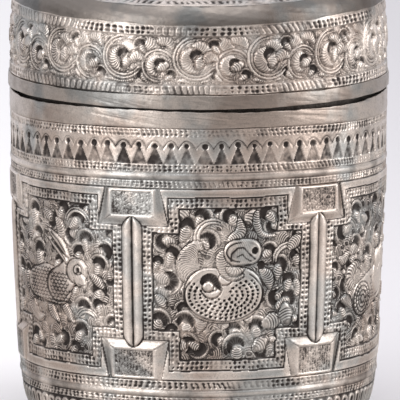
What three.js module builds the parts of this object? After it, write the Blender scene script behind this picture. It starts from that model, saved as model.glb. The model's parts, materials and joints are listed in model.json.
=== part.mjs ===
// Round silver betel box with a lift-off lid and an inner tray.
// Millimetres, +Z up. The origin is the centre of the foot's underside, and one panel faces -Y.
import * as THREE from 'three';

// Turning grid: angles are counted from -Y towards +X
const RING_SEGMENTS = 48;
const PANEL_COUNT = 6;
const PANEL_ANGLE = 360 / PANEL_COUNT;

// Heights of the joins, from the surface the box stands on
const FOOT_TOP_Z = 1.8;
const BASE_LOW_Z = 2.0;
const BASE_TOP_Z = 3.0;
const WALL_LOW_Z = 3.2;
const SEAM_Z = 82.6;
const LID_LOW_Z = 83.2;
const LID_WALL_TOP_Z = 104.2;
const SHOULDER_LOW_Z = 104.4;
const SHOULDER_TOP_Z = 108.2;
const APEX_Z = 113.0;

// The body's outline over the tops of its ornament
const BODY_RADIUS = 46.15;
const BODY_TAPER = 0.0005;
const BASE_TUCK = 5.0;
const BASE_TUCK_HEIGHT = 3.2;

// The lid's outline over the tops of its ornament
const LID_RADIUS = 46.5;
const LID_TAPER = 0.0008;
const LID_TUCK = 2.2;
const LID_TUCK_HEIGHT = 2.5;
const LID_HEIGHT = 25.0;

// Sheet: how far the plain ground and the inner face lie inside those outlines
const BODY_GROUND_DEPTH = 0.9;
const LID_GROUND_DEPTH = 0.8;
const WALL_INNER_DEPTH = 1.8;

// Ridges that run round the body
const RIDGES = [
  { low: 13.2, high: 15.0, height: 0.7 },
  { low: 17.4, high: 19.8, height: 0.8 },
  { low: 62.0, high: 64.2, height: 0.8 },
  { low: 66.9, high: 68.6, height: 0.7 },
];

// Upright double ridges between the panels
const STRIP_LOW_Z = 25.2;
const STRIP_HIGH_Z = 57.2;
const STRIP_HALF_ANGLE = 3.6;
const STRIP_HEIGHT = 0.8;

// Mitred bosses at both ends of each upright
const BOSS_LOW_CENTRE_Z = 22.0;
const BOSS_HIGH_CENTRE_Z = 59.9;
const BOSS_HALF_HEIGHT = 4.5;
const BOSS_FLAT_HALF_HEIGHT = 2.6;
const BOSS_HALF_ANGLE = 11.1;
const BOSS_FLAT_HALF_ANGLE = 7.5;
const BOSS_HEIGHT = 0.85;

// Columns of the body's outer face, in degrees from the middle of an upright
const COLUMN_ANGLES = [0, 1.8, STRIP_HALF_ANGLE, BOSS_FLAT_HALF_ANGLE, BOSS_HALF_ANGLE, 20];

// Rows of the body's outer face between the ridges, and of its inner face
const PLAIN_ROW_HEIGHTS = [7.5, 41.0, 73.0];
const INNER_ROW_HEIGHTS = [55.0, 28.0, 10.0];

// The lid's scroll band swells between two sunk bead rows: its height and its depth under the outline
const SCROLL_BAND = [
  { z: 89.0, depth: LID_GROUND_DEPTH },
  { z: 90.4, depth: 0.3 },
  { z: 95.0, depth: 0.05 },
  { z: 99.8, depth: 0.3 },
  { z: 101.1, depth: LID_GROUND_DEPTH },
];
const LID_INNER_ROW_Z = 97.0;

// The shoulder moulding: radius, and height over its lower edge
const SHOULDER_HEIGHT = SHOULDER_TOP_Z - SHOULDER_LOW_Z;
const SHOULDER_OUTSIDE = [[45.1, 0], [45.15, 1.0], [44.75, 2.1], [44.0, 3.1], [43.0, SHOULDER_HEIGHT]];
const SHOULDER_INSIDE = [[42.4, SHOULDER_HEIGHT], [42.4, 2.7], [43.3, 2.0], [43.8, 0]];

// Rings
const FOOT_OUTER_RADIUS = 40.2;
const FOOT_INNER_RADIUS = 38.0;
const FOOT_BEVEL = 0.4;
const BASE_RADIUS = 40.6;
const BODY_BAND_LOW_Z = 79.0;
const BAND_THICKNESS = 0.55;
const BAND_BEVEL = 0.2;
const LID_BAND_TOP_Z = 86.5;
const COLLAR_LOW_Z = 73.0;
const COLLAR_TOP_Z = 90.0;
const COLLAR_OUTER_RADIUS = 43.9;
const COLLAR_THICKNESS = 0.8;
const LID_TOP_RADIUS = 42.1;
const LID_TOP_EDGE_Z = 107.5;
const LID_TOP_THICKNESS = 1.0;
const LID_TOP_UPPER_RADII = [LID_TOP_RADIUS, 34, 24, 12, 0];
const LID_TOP_LOWER_RADII = [0, 16, 32, LID_TOP_RADIUS];
const TRAY_FLOOR_LOW_Z = 70.0;
const TRAY_FLOOR_TOP_Z = 70.8;
const TRAY_WALL_LOW_Z = 71.0;
const TRAY_WALL_TOP_Z = 91.6;
const TRAY_OUTER_RADIUS = 42.6;
const TRAY_THICKNESS = 0.7;
const TRAY_WIRE_INNER_RADIUS = 42.9;
const TRAY_WIRE_OUTER_RADIUS = 44.1;
const TRAY_WIRE_LOW_Z = 90.2;
const TRAY_WIRE_TOP_Z = 92.2;
const TRAY_WIRE_FLAT_HALF_HEIGHT = 0.4;

const SILVER = new THREE.MeshStandardMaterial({ color: 0xb5aea6, metalness: 1, roughness: 0.34 });
const WORN_SILVER = new THREE.MeshStandardMaterial({ color: 0xc4bdb4, metalness: 1, roughness: 0.26 });
const INNER_SILVER = new THREE.MeshStandardMaterial({ color: 0xa39d96, metalness: 1, roughness: 0.42 });

const box = new THREE.Group();

function addPiece(name, geometry, material) {
  const mesh = new THREE.Mesh(geometry, material);
  mesh.name = name;
  box.add(mesh);
}

// A closed ring or disc. The profile runs up the outside and down the inside, as [radius, height].
function turned(profile) {
  const points = profile.map(([radius, height]) => new THREE.Vector2(radius, height));
  const first = profile[0];
  const last = profile[profile.length - 1];
  const onAxis = first[0] === 0 && last[0] === 0;
  if (!onAxis) {
    points.push(points[0].clone());
  }
  const geometry = new THREE.LatheGeometry(points, RING_SEGMENTS);
  geometry.rotateX(Math.PI / 2);
  return geometry;
}

function bodyOutline(z) {
  const belly = BODY_RADIUS - BODY_TAPER * (SEAM_Z - z) ** 2;
  return belly - BASE_TUCK * Math.exp(-z / BASE_TUCK_HEIGHT);
}

function lidOutline(z) {
  const rise = z - LID_LOW_Z;
  const side = LID_RADIUS - LID_TAPER * rise ** 2;
  return side - LID_TUCK * Math.exp((rise - LID_HEIGHT) / LID_TUCK_HEIGHT);
}

function lidTopHeight(radius) {
  return LID_TOP_EDGE_Z + (APEX_Z - LID_TOP_EDGE_Z) * (1 - (radius / LID_TOP_RADIUS) ** 2);
}

// How much a mitred boss stands out at an angle from its upright and a height
function bossLift(angle, z, centreZ) {
  const across = (BOSS_HALF_ANGLE - Math.abs(angle)) / (BOSS_HALF_ANGLE - BOSS_FLAT_HALF_ANGLE);
  const upright = (BOSS_HALF_HEIGHT - Math.abs(z - centreZ)) / (BOSS_HALF_HEIGHT - BOSS_FLAT_HALF_HEIGHT);
  return BOSS_HEIGHT * THREE.MathUtils.clamp(Math.min(across, upright), 0, 1);
}

function stripLift(angle, z) {
  if (z < STRIP_LOW_Z || z > STRIP_HIGH_Z || Math.abs(angle) > STRIP_HALF_ANGLE) {
    return 0;
  }
  return STRIP_HEIGHT * Math.abs(Math.sin(Math.PI * angle / STRIP_HALF_ANGLE));
}

function ridgeLift(z) {
  const ridge = RIDGES.find(({ low, high }) => z > low && z < high);
  if (!ridge) {
    return 0;
  }
  return ridge.height * Math.sin(Math.PI * (z - ridge.low) / (ridge.high - ridge.low));
}

function bodyOuterRadius(angle, z) {
  const lifts = [
    ridgeLift(z),
    stripLift(angle, z),
    bossLift(angle, z, BOSS_LOW_CENTRE_Z),
    bossLift(angle, z, BOSS_HIGH_CENTRE_Z),
  ];
  return bodyOutline(z) - BODY_GROUND_DEPTH + Math.max(...lifts);
}

// The columns all the way round, as the angle from -Y and the angle from the nearest upright
function bodyColumns() {
  const oneSide = COLUMN_ANGLES.filter((angle) => angle > 0);
  const nearUpright = [...oneSide.map((angle) => -angle).reverse(), 0, ...oneSide, PANEL_ANGLE / 2];
  const columns = [];
  for (let panel = 0; panel < PANEL_COUNT; panel += 1) {
    const upright = PANEL_ANGLE * (panel + 0.5);
    nearUpright.forEach((angle) => columns.push({ turn: upright + angle, angle }));
  }
  return columns;
}

// The rows of the outer face: each ridge and boss has a row at its feet and on its crest
function bodyRows() {
  const rows = [WALL_LOW_Z, ...PLAIN_ROW_HEIGHTS, SEAM_Z];
  RIDGES.forEach(({ low, high }) => rows.push(low, (low + high) / 2, high));
  rows.push(BOSS_LOW_CENTRE_Z + BOSS_FLAT_HALF_HEIGHT, BOSS_LOW_CENTRE_Z + BOSS_HALF_HEIGHT);
  rows.push(BOSS_HIGH_CENTRE_Z - BOSS_HALF_HEIGHT, BOSS_HIGH_CENTRE_Z - BOSS_FLAT_HALF_HEIGHT);
  return rows.sort((a, b) => a - b);
}

// One closed shell: up the outer face, over the rim, down the inner face and back under the foot
function bodyWall() {
  const columns = bodyColumns();
  const outerRows = bodyRows();
  const innerRows = [SEAM_Z, ...INNER_ROW_HEIGHTS, WALL_LOW_Z];
  const positions = [];
  columns.forEach(({ turn, angle }) => {
    const theta = THREE.MathUtils.degToRad(turn);
    const place = (radius, z) => positions.push(radius * Math.sin(theta), -radius * Math.cos(theta), z);
    outerRows.forEach((z) => place(bodyOuterRadius(angle, z), z));
    innerRows.forEach((z) => place(bodyOutline(z) - WALL_INNER_DEPTH, z));
  });
  const rowCount = outerRows.length + innerRows.length;
  const indices = [];
  for (let column = 0; column < columns.length; column += 1) {
    const here = column * rowCount;
    const next = ((column + 1) % columns.length) * rowCount;
    for (let row = 0; row < rowCount; row += 1) {
      const above = (row + 1) % rowCount;
      indices.push(here + row, next + row, here + above);
      indices.push(next + above, here + above, next + row);
    }
  }
  const geometry = new THREE.BufferGeometry();
  geometry.setAttribute('position', new THREE.Float32BufferAttribute(positions, 3));
  geometry.setIndex(indices);
  geometry.computeVertexNormals();
  return geometry;
}

// A flat strip soldered round the outside, with its two outer edges eased
function edgeBand(outerRadius, lowZ, topZ) {
  const innerRadius = outerRadius - BAND_THICKNESS;
  return turned([
    [outerRadius - BAND_BEVEL, lowZ],
    [outerRadius, lowZ + BAND_BEVEL],
    [outerRadius, topZ - BAND_BEVEL],
    [outerRadius - BAND_BEVEL, topZ],
    [innerRadius, topZ],
    [innerRadius, lowZ],
  ]);
}

function tube(outerRadius, thickness, lowZ, topZ) {
  const innerRadius = outerRadius - thickness;
  return turned([
    [outerRadius, lowZ],
    [outerRadius, topZ],
    [innerRadius, topZ],
    [innerRadius, lowZ],
  ]);
}

function disc(radius, lowZ, topZ) {
  return turned([
    [0, lowZ],
    [radius, lowZ],
    [radius, topZ],
    [0, topZ],
  ]);
}

function footRing() {
  return turned([
    [FOOT_OUTER_RADIUS - FOOT_BEVEL, 0],
    [FOOT_OUTER_RADIUS, FOOT_BEVEL],
    [FOOT_OUTER_RADIUS, FOOT_TOP_Z],
    [FOOT_INNER_RADIUS, FOOT_TOP_Z],
    [FOOT_INNER_RADIUS, 0],
  ]);
}

function lidWall() {
  const outer = [
    { z: LID_LOW_Z, depth: LID_GROUND_DEPTH },
    ...SCROLL_BAND,
    { z: LID_WALL_TOP_Z, depth: LID_GROUND_DEPTH },
  ];
  const inner = [LID_WALL_TOP_Z, LID_INNER_ROW_Z, LID_LOW_Z];
  return turned([
    ...outer.map(({ z, depth }) => [lidOutline(z) - depth, z]),
    ...inner.map((z) => [lidOutline(z) - WALL_INNER_DEPTH, z]),
  ]);
}

// Convex moulding that carries the lid over from its side to its top
function lidShoulder() {
  const profile = [...SHOULDER_OUTSIDE, ...SHOULDER_INSIDE];
  return turned(profile.map(([radius, rise]) => [radius, SHOULDER_LOW_Z + rise]));
}

function lidTop() {
  return turned([
    ...LID_TOP_LOWER_RADII.map((radius) => [radius, lidTopHeight(radius) - LID_TOP_THICKNESS]),
    ...LID_TOP_UPPER_RADII.map((radius) => [radius, lidTopHeight(radius)]),
  ]);
}

// Round wire soldered under the tray's lip, which hangs the tray on the mouth
function trayWire() {
  const middleRadius = (TRAY_WIRE_INNER_RADIUS + TRAY_WIRE_OUTER_RADIUS) / 2;
  const middleZ = (TRAY_WIRE_LOW_Z + TRAY_WIRE_TOP_Z) / 2;
  return turned([
    [middleRadius, TRAY_WIRE_LOW_Z],
    [TRAY_WIRE_OUTER_RADIUS, middleZ - TRAY_WIRE_FLAT_HALF_HEIGHT],
    [TRAY_WIRE_OUTER_RADIUS, middleZ + TRAY_WIRE_FLAT_HALF_HEIGHT],
    [middleRadius, TRAY_WIRE_TOP_Z],
    [TRAY_WIRE_INNER_RADIUS, middleZ + TRAY_WIRE_FLAT_HALF_HEIGHT],
    [TRAY_WIRE_INNER_RADIUS, middleZ - TRAY_WIRE_FLAT_HALF_HEIGHT],
  ]);
}

addPiece('foot_ring', footRing(), SILVER);
addPiece('base_disc', disc(BASE_RADIUS, BASE_LOW_Z, BASE_TOP_Z), SILVER);
addPiece('body_wall', bodyWall(), SILVER);
addPiece('body_rim_band', edgeBand(BODY_RADIUS, BODY_BAND_LOW_Z, SEAM_Z), WORN_SILVER);
addPiece('mouth_collar', tube(COLLAR_OUTER_RADIUS, COLLAR_THICKNESS, COLLAR_LOW_Z, COLLAR_TOP_Z), INNER_SILVER);
addPiece('lid_wall', lidWall(), SILVER);
addPiece('lid_rim_band', edgeBand(LID_RADIUS, LID_LOW_Z, LID_BAND_TOP_Z), WORN_SILVER);
addPiece('lid_shoulder_moulding', lidShoulder(), WORN_SILVER);
addPiece('lid_top', lidTop(), SILVER);
addPiece('tray_floor', disc(TRAY_OUTER_RADIUS, TRAY_FLOOR_LOW_Z, TRAY_FLOOR_TOP_Z), INNER_SILVER);
addPiece('tray_wall', tube(TRAY_OUTER_RADIUS, TRAY_THICKNESS, TRAY_WALL_LOW_Z, TRAY_WALL_TOP_Z), INNER_SILVER);
addPiece('tray_rim_wire', trayWire(), WORN_SILVER);

export default box;
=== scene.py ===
"""Visual model of a round silver betel box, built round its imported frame.

Lengths are in millimetres and are turned into metres where a mesh is made. Angles round the box
are counted from -Y, the front of the middle panel, towards +X.
"""
import json
import math

import bmesh
import bpy
import numpy as np
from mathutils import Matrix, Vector

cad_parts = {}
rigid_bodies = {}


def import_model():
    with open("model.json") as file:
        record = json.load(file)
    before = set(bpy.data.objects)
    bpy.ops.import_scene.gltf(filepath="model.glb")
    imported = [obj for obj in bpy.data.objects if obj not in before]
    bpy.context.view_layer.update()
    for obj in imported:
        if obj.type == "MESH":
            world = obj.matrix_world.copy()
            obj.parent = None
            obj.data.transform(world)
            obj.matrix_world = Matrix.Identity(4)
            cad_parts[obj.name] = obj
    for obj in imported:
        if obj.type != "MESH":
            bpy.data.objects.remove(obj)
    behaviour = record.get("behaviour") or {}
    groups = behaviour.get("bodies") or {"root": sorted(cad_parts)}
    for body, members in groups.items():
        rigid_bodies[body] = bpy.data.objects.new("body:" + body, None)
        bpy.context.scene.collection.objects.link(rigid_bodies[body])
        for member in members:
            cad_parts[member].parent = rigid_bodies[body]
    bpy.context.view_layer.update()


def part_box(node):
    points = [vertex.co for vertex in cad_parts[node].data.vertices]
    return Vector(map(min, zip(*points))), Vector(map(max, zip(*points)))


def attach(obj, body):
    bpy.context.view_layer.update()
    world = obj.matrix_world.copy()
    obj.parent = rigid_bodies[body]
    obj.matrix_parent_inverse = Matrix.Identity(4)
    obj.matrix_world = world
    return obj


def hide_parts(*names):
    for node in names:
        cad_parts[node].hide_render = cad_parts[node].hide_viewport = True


bl_info = {
    "name": "Silver betel box",
    "version": (1, 0, 0),
    "blender": (4, 5, 0),
    "location": "View3D > Sidebar > Betel Box",
    "description": "Builds a chased silver betel box with a lift-off lid and an inner tray",
    "category": "Object",
}

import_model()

MM = 0.001
SEED = 7


def low_of(node):
    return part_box(node)[0].z / MM


def top_of(node):
    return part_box(node)[1].z / MM


def radius_of(node):
    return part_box(node)[1].x / MM


# Sizes that the frame sets
BODY_RADIUS = radius_of("body_rim_band")
LID_RADIUS = radius_of("lid_rim_band") - 0.03
SEAM_Z = top_of("body_rim_band")
WALL_LOW_Z = low_of("body_wall")
BODY_BAND_LOW_Z = low_of("body_rim_band")
LID_LOW_Z = low_of("lid_wall")
LID_BAND_TOP_Z = top_of("lid_rim_band")
LID_WALL_TOP_Z = top_of("lid_wall")
SHOULDER_LOW_Z = low_of("lid_shoulder_moulding")
SHOULDER_TOP_Z = top_of("lid_shoulder_moulding")
LID_TOP_RADIUS = radius_of("lid_top")
APEX_Z = top_of("lid_top") - 0.5

# Outlines over the tops of the ornament, and how far the ground and the inner face lie inside them
BODY_TAPER = 0.0005
BASE_TUCK = 5.0
BASE_TUCK_HEIGHT = 3.2
LID_TAPER = 0.0008
LID_TUCK = 2.2
LID_TUCK_HEIGHT = 2.5
LID_HEIGHT = 25.0
BODY_GROUND_DEPTH = 0.6
LID_GROUND_DEPTH = 0.85
WALL_INNER_DEPTH = 1.8
LID_TOP_EDGE_Z = 107.4
LID_TOP_THICKNESS = 0.7
CLEARANCE = 0.02
NECK_DEPTH = 0.75
RING_THICKNESS = {"mouth_collar": 0.8, "foot_ring": 2.2, "tray_wall": 0.7}
SHOULDER_RADIUS, SHOULDER_ROUND, SHOULDER_POWER = 45.42, 2.35, 1.9
SHOULDER_OVERLAP, SHOULDER_THICKNESS = 0.65, 1.1
SHOULDER_FOOT_RADIUS, SHOULDER_LIP_RADIUS = 43.9, 42.5
TRAY_LIP_RADII = (0.57, 0.97)
BAND_SIDES, RING_SIDES, NECK_SIDES, DISC_SIDES = 360, 240, 180, 120

# Heights of the body's and the lid's bands, and radii of the lid top's
PETALS = (4.2, 11.3)
LOWER_RIDGE = (13.2, 15.0)
LOWER_PUNCHES = ((11.4, 13.1), (15.1, 17.1))
UPPER_RIDGE = (66.3, 68.3)
UPPER_PUNCHES = ((64.45, 66.15), (68.4, 70.2), (76.9, 78.8))
ARCHES = (70.25, 76.8)
SCROLLS = (89.2, 100.9)
LID_BEADS_TOP_Z = 103.4
TOP_PUNCHES = (39.0, 41.0)
TOP_ARCHES = (32.6, 38.6)
TOP_RIDGE = (30.6, 32.2)
TOP_SCROLLS = (20.0, 30.4)
TOP_SPLIT = TOP_SCROLLS[0]
MIDDLE_RIDGE = (17.6, 19.4)
MIDDLE_PUNCHES = (15.6, 17.2)
ROSETTE_BOSS = 2.6
TOP_HOLE = 0.6
PANEL_PUNCH_PITCH = 1.2
FIRST_SCROLL = -8.1

# How much coarser than a panel's relief other pieces are, to keep each one's triangles few enough
COARSER = {"body_upper_border": 1.12 * 1.03, "body_lower_border": 1.12, "lid_band": 1.08,
           "lid_top_ring": 1.34, "lid_top_middle": 1.3}

# The flat pattern of a panel, measured from its middle line and from the box's foot
PANELS = 6
PATTERN_RADIUS = 45.7
PANEL_HALF = PATTERN_RADIUS * math.pi / PANELS
WIDE_HALF = 21.3
WIDE_LOW, WIDE_HIGH = 27.0, 55.8
ARM_HALF = 14.7
ARM_LOW, ARM_HIGH = 19.9, 61.9
BORDER = 2.35
PANEL_LOW, PANEL_HIGH = 17.25, 64.3
PATTERN_MIDDLE = 40.8
UPRIGHT_LOW, UPRIGHT_HIGH = 25.2, 57.2
BOSS_HALF, BOSS_FLAT_HALF, BOSS_FLARE = 7.0, 5.2, 2.4
BOSS_REACH = ((16.9, 18.0, 24.6, 27.2), (54.9, 57.5, 63.5, 64.6))

# The arch band's pattern: its height as drawn, that of a triangle, and an arch's rise above its ends
ARCH_UNIT = 6.6
TRIANGLE_HEIGHT = 4.25
ARCH_HEIGHT = 1.9

# Depths of relief, widths and pitches of its lines, and the width of a rounded edge
UPRIGHT_LIFT = 0.62
BOSS_LIFT = 0.66
BAND_LIFT = 0.5
BORDER_LIFT = 0.36
LEAF_LIFT = 0.42
BALL_LIFT = 0.5
HOLLOW_DEPTH = 0.42
LINE = 0.26
LINE_DEPTH = 0.12
HATCH = 0.56
SKIN_HATCH = 0.5
FUR = 0.55
SCALE_PITCH = 1.35
EDGE_ROUND = 0.65
HAIR = 0.012
LAYERS = ("lift", "patina", "hatch", "score")
EVERYWHERE = (slice(None), slice(None))

# How far the lid's bands dip to the front and back and rise at the sides, how far the body's bands sag
# at the front and at the sides, and the angle of the side that faces the camera
LID_WARP = 1.3
FRONT_SAG = 0.5
SIDE_SAG = 1.15
FRONT = math.radians(-9.4)

# Where the body's mouth edge rises or dips: angle from the front, half width and height
MOUTH_SWELLS = ((-0.4, 0.3, 0.42), (-1.1, 0.28, -0.3), (0.3, 0.2, -0.12), (0.85, 0.35, -0.5),
                (2.6, 0.3, -0.4))

# How dark the metal is: 0 is clean and 1 is black
GROUND_PATINA = 0.3
LINE_PATINA = 0.78
LEAF_PATINA = 0.05
# The inner faces of the walls are dark as painted shade inside the box and the seam
INNER_PAINTED_SHADE = 0.75

# How far the finish looks round a point for what is higher, and how high or deep counts in full
RUB_REACH = 0.8
RUB_HEIGHT = 0.3
CAVITY_DEPTH = 0.4

# The metal's patches, from the widest: scale, detail, roughness and offset of their noise
NOISES = {
    "brown": (45, 4, 0.55, (3.1, 1.7, 0.4)),
    "blue": (62, 4, 0.5, (0, 0, 0)),
    "soil": (110, 3, 0.6, (2.3, 6.1, 1.4)),
    "grime": (300, 4, 0.65, (0.7, 2.2, 5.1)),
    "beaten": (420, 2, 0.5, (1.1, 0.2, 3.3)),
    "fine": (1500, 2, 0.5, (0, 0, 0)),
    "grain": (2700, 2, 0.6, (4.2, 2.1, 0.7)),
}

# Finishes: whether chased, roughness, tone, and the share of grime where there is no relief
FINISHES = {
    "chased_silver": (True, 0.33, 1.0, 0.0),
    "worn_silver": (False, 0.32, 0.73, 0.35),
    "lid_silver": (False, 0.34, 0.55, 0.35),
    # The shoulder's silver is a darker copy of the rim bands': partly its brown tarnish, partly painted shade
    "shoulder_silver": (False, 0.34, 0.29, 0.35),
    "plain_silver": (False, 0.45, 0.3, 0.7),
    # Near-black silver as painted shade, for the neck and the collar that show in the seam's gap
    "black_silver": (False, 0.5, 0.1, 0.8),
}
GRAIN_COLOUR = (0.2, 0.185, 0.175)
GRIME_COLOUR = (0.16, 0.14, 0.13)
DULLEST = 0.6

# Stage. Softboxes have an azimuth and elevation in degrees, and a distance, width, height and radiance
FLOOR_RADIUS = 30.0
LAMPS = {
    "left_softbox": (-53, 18, 0.75, 0.42, 0.62, 3.2),
    "right_softbox": (68, 18, 0.75, 0.48, 0.62, 2.75),
    "top_softbox": (0, 82, 1.0, 0.8, 0.6, 2.2),
}
LAMP_COLOUR = (1.0, 0.98, 0.96)
LAMP_AIM_HEIGHT = 0.06
PICTURE_PIXELS = 400
AXIS_OFFSET_PIXELS = 1.5


class SizeSettings(bpy.types.PropertyGroup):
    grid_step: bpy.props.FloatProperty(
        name="Relief step", description="Distance between the relief's points", default=0.19 * MM,
        min=0.05 * MM, max=2 * MM, precision=5, unit="LENGTH")
    hammer: bpy.props.FloatProperty(
        name="Hammer waviness", description="How far the plain bands wander from a true circle",
        default=0.07 * MM, min=0.0, max=0.5 * MM, precision=5, unit="LENGTH")
    edge_wave: bpy.props.FloatProperty(
        name="Edge waviness", description="How far the edges of the plain bands wander up and down",
        default=0.22 * MM, min=0.0, max=0.8 * MM, precision=5, unit="LENGTH")
    punches: bpy.props.IntProperty(
        name="Punch marks", description="Punch marks in one row round the upper body", default=253, min=60)
    lower_punches: bpy.props.IntProperty(
        name="Lower punch marks", description="Punch marks in one row round the lower body", default=205,
        min=60)
    lid_punches: bpy.props.IntProperty(
        name="Lid punch marks", description="Punch marks in one row round the lid", default=195, min=60)
    arches: bpy.props.IntProperty(
        name="Arches", description="Arches over triangles round the body", default=72, min=12)
    petals: bpy.props.IntProperty(
        name="Petals", description="Tall petals round the foot of the body", default=90, min=12)
    scrolls: bpy.props.IntProperty(
        name="Scrolls", description="Scrolls round the lid", default=16, min=6)


def colour_property(name, description, default, high=1):
    return bpy.props.FloatVectorProperty(name=name, description=description, default=default,
                                         subtype="COLOR", size=3, min=0, max=high)


class FinishSettings(bpy.types.PropertyGroup):
    silver: colour_property("Silver", "Clean silver", (0.775, 0.69, 0.632))
    rubbed: colour_property("Rubbed silver", "High points polished by hands", (0.93, 0.85, 0.79))
    patina: colour_property("Patina", "Black tarnish in the hollows", (0.055, 0.047, 0.045))
    blue_tarnish: colour_property("Blue tarnish", "Bluish grey patches", (0.44, 0.455, 0.455))
    brown_tarnish: colour_property("Brown tarnish", "Pinkish brown patches", (0.50, 0.40, 0.345))


class StageSettings(bpy.types.PropertyGroup):
    background: colour_property("Background", "Backdrop colour", (0.90, 0.90, 0.945))
    room: colour_property("Room", "What the metal sees on the camera's side", (0.38, 0.37, 0.36))
    ceiling: colour_property("Ceiling", "Soft light from above", (1.0, 1.0, 1.02), 3)
    floor: colour_property("Floor", "The paper the box stands on", (0.90, 0.89, 0.92))
    # Painted shade: the floor's colour darkens to this to the right of the box and towards the front
    floor_painted_shade: colour_property("Floor shade", "The paper where it falls into shade, right and in front",
                                 (0.68, 0.665, 0.70))
    floor_in_metal: colour_property("Floor in metal", "The front of the floor as the metal shows it",
                                    (0.54, 0.52, 0.505))
    camera_azimuth: bpy.props.FloatProperty(
        name="Camera azimuth", description="Camera's turn from -Y", subtype="ANGLE", default=FRONT)
    camera_elevation: bpy.props.FloatProperty(
        name="Camera elevation", description="Camera's angle above the horizon", subtype="ANGLE",
        default=math.radians(9.0))
    camera_distance: bpy.props.FloatProperty(
        name="Camera distance", description="Distance from the box's axis", unit="LENGTH", default=1.83)
    frame_width: bpy.props.FloatProperty(
        name="Frame width", description="Width seen at the box's axis", unit="LENGTH", default=97.9 * MM)
    look_height: bpy.props.FloatProperty(
        name="Look height", description="Height on the axis at the picture's middle", unit="LENGTH",
        default=54.1 * MM)


# Outlines

def body_outline(z):
    return BODY_RADIUS - BODY_TAPER * (SEAM_Z - z) ** 2 - BASE_TUCK * np.exp(-z / BASE_TUCK_HEIGHT)


def lid_outline(z):
    rise = z - LID_LOW_Z
    return LID_RADIUS - LID_TAPER * rise ** 2 - LID_TUCK * np.exp((rise - LID_HEIGHT) / LID_TUCK_HEIGHT)


def lid_top_height(radius):
    return LID_TOP_EDGE_Z + (APEX_Z - LID_TOP_EDGE_Z) * (1 - (radius / LID_TOP_RADIUS) ** 2)


def wander(theta, seed, harmonics, size):
    """A smooth wave that closes on itself round the box, between about -size and size."""
    random = np.random.default_rng(SEED * 1000 + seed)
    total = np.zeros_like(theta)
    for harmonic in harmonics:
        total = total + np.sin(harmonic * theta + random.uniform(0, 2 * math.pi)) * random.uniform(0.5, 1.0)
    return size * total / math.sqrt(len(harmonics))


def arc(u, v, radius, start, sweep, end_radius=None, points=22):
    """Points along an arc or a spiral. Angles are in degrees, counterclockwise from the right."""
    share = np.linspace(0, 1, points)
    angle = np.radians(start + sweep * share)
    reach = radius + ((radius if end_radius is None else end_radius) - radius) * share
    return np.column_stack((u + reach * np.cos(angle), v + reach * np.sin(angle)))


def swell(points, thickest=0.5, power=0.8):
    """Widths along a leaf, from nothing at both ends to 1 at its thickest."""
    share = np.linspace(0, 1, points)
    bent = share ** (math.log(0.5) / math.log(thickest))
    return np.clip(np.sin(math.pi * bent), 0, 1) ** power


def blurred(values, cells):
    """A box blur, twice, with the edges carried on."""
    width = 2 * cells + 1
    for axis in (0, 1):
        for _ in range(2):
            pad = [(0, 0), (0, 0)]
            pad[axis] = (cells + 1, cells)
            total = np.cumsum(np.pad(values, pad, mode="edge"), axis=axis)
            ends = [slice(None), slice(None)]
            starts = [slice(None), slice(None)]
            ends[axis] = slice(width, None)
            starts[axis] = slice(None, -width)
            values = (total[tuple(ends)] - total[tuple(starts)]) / width
    return values


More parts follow.
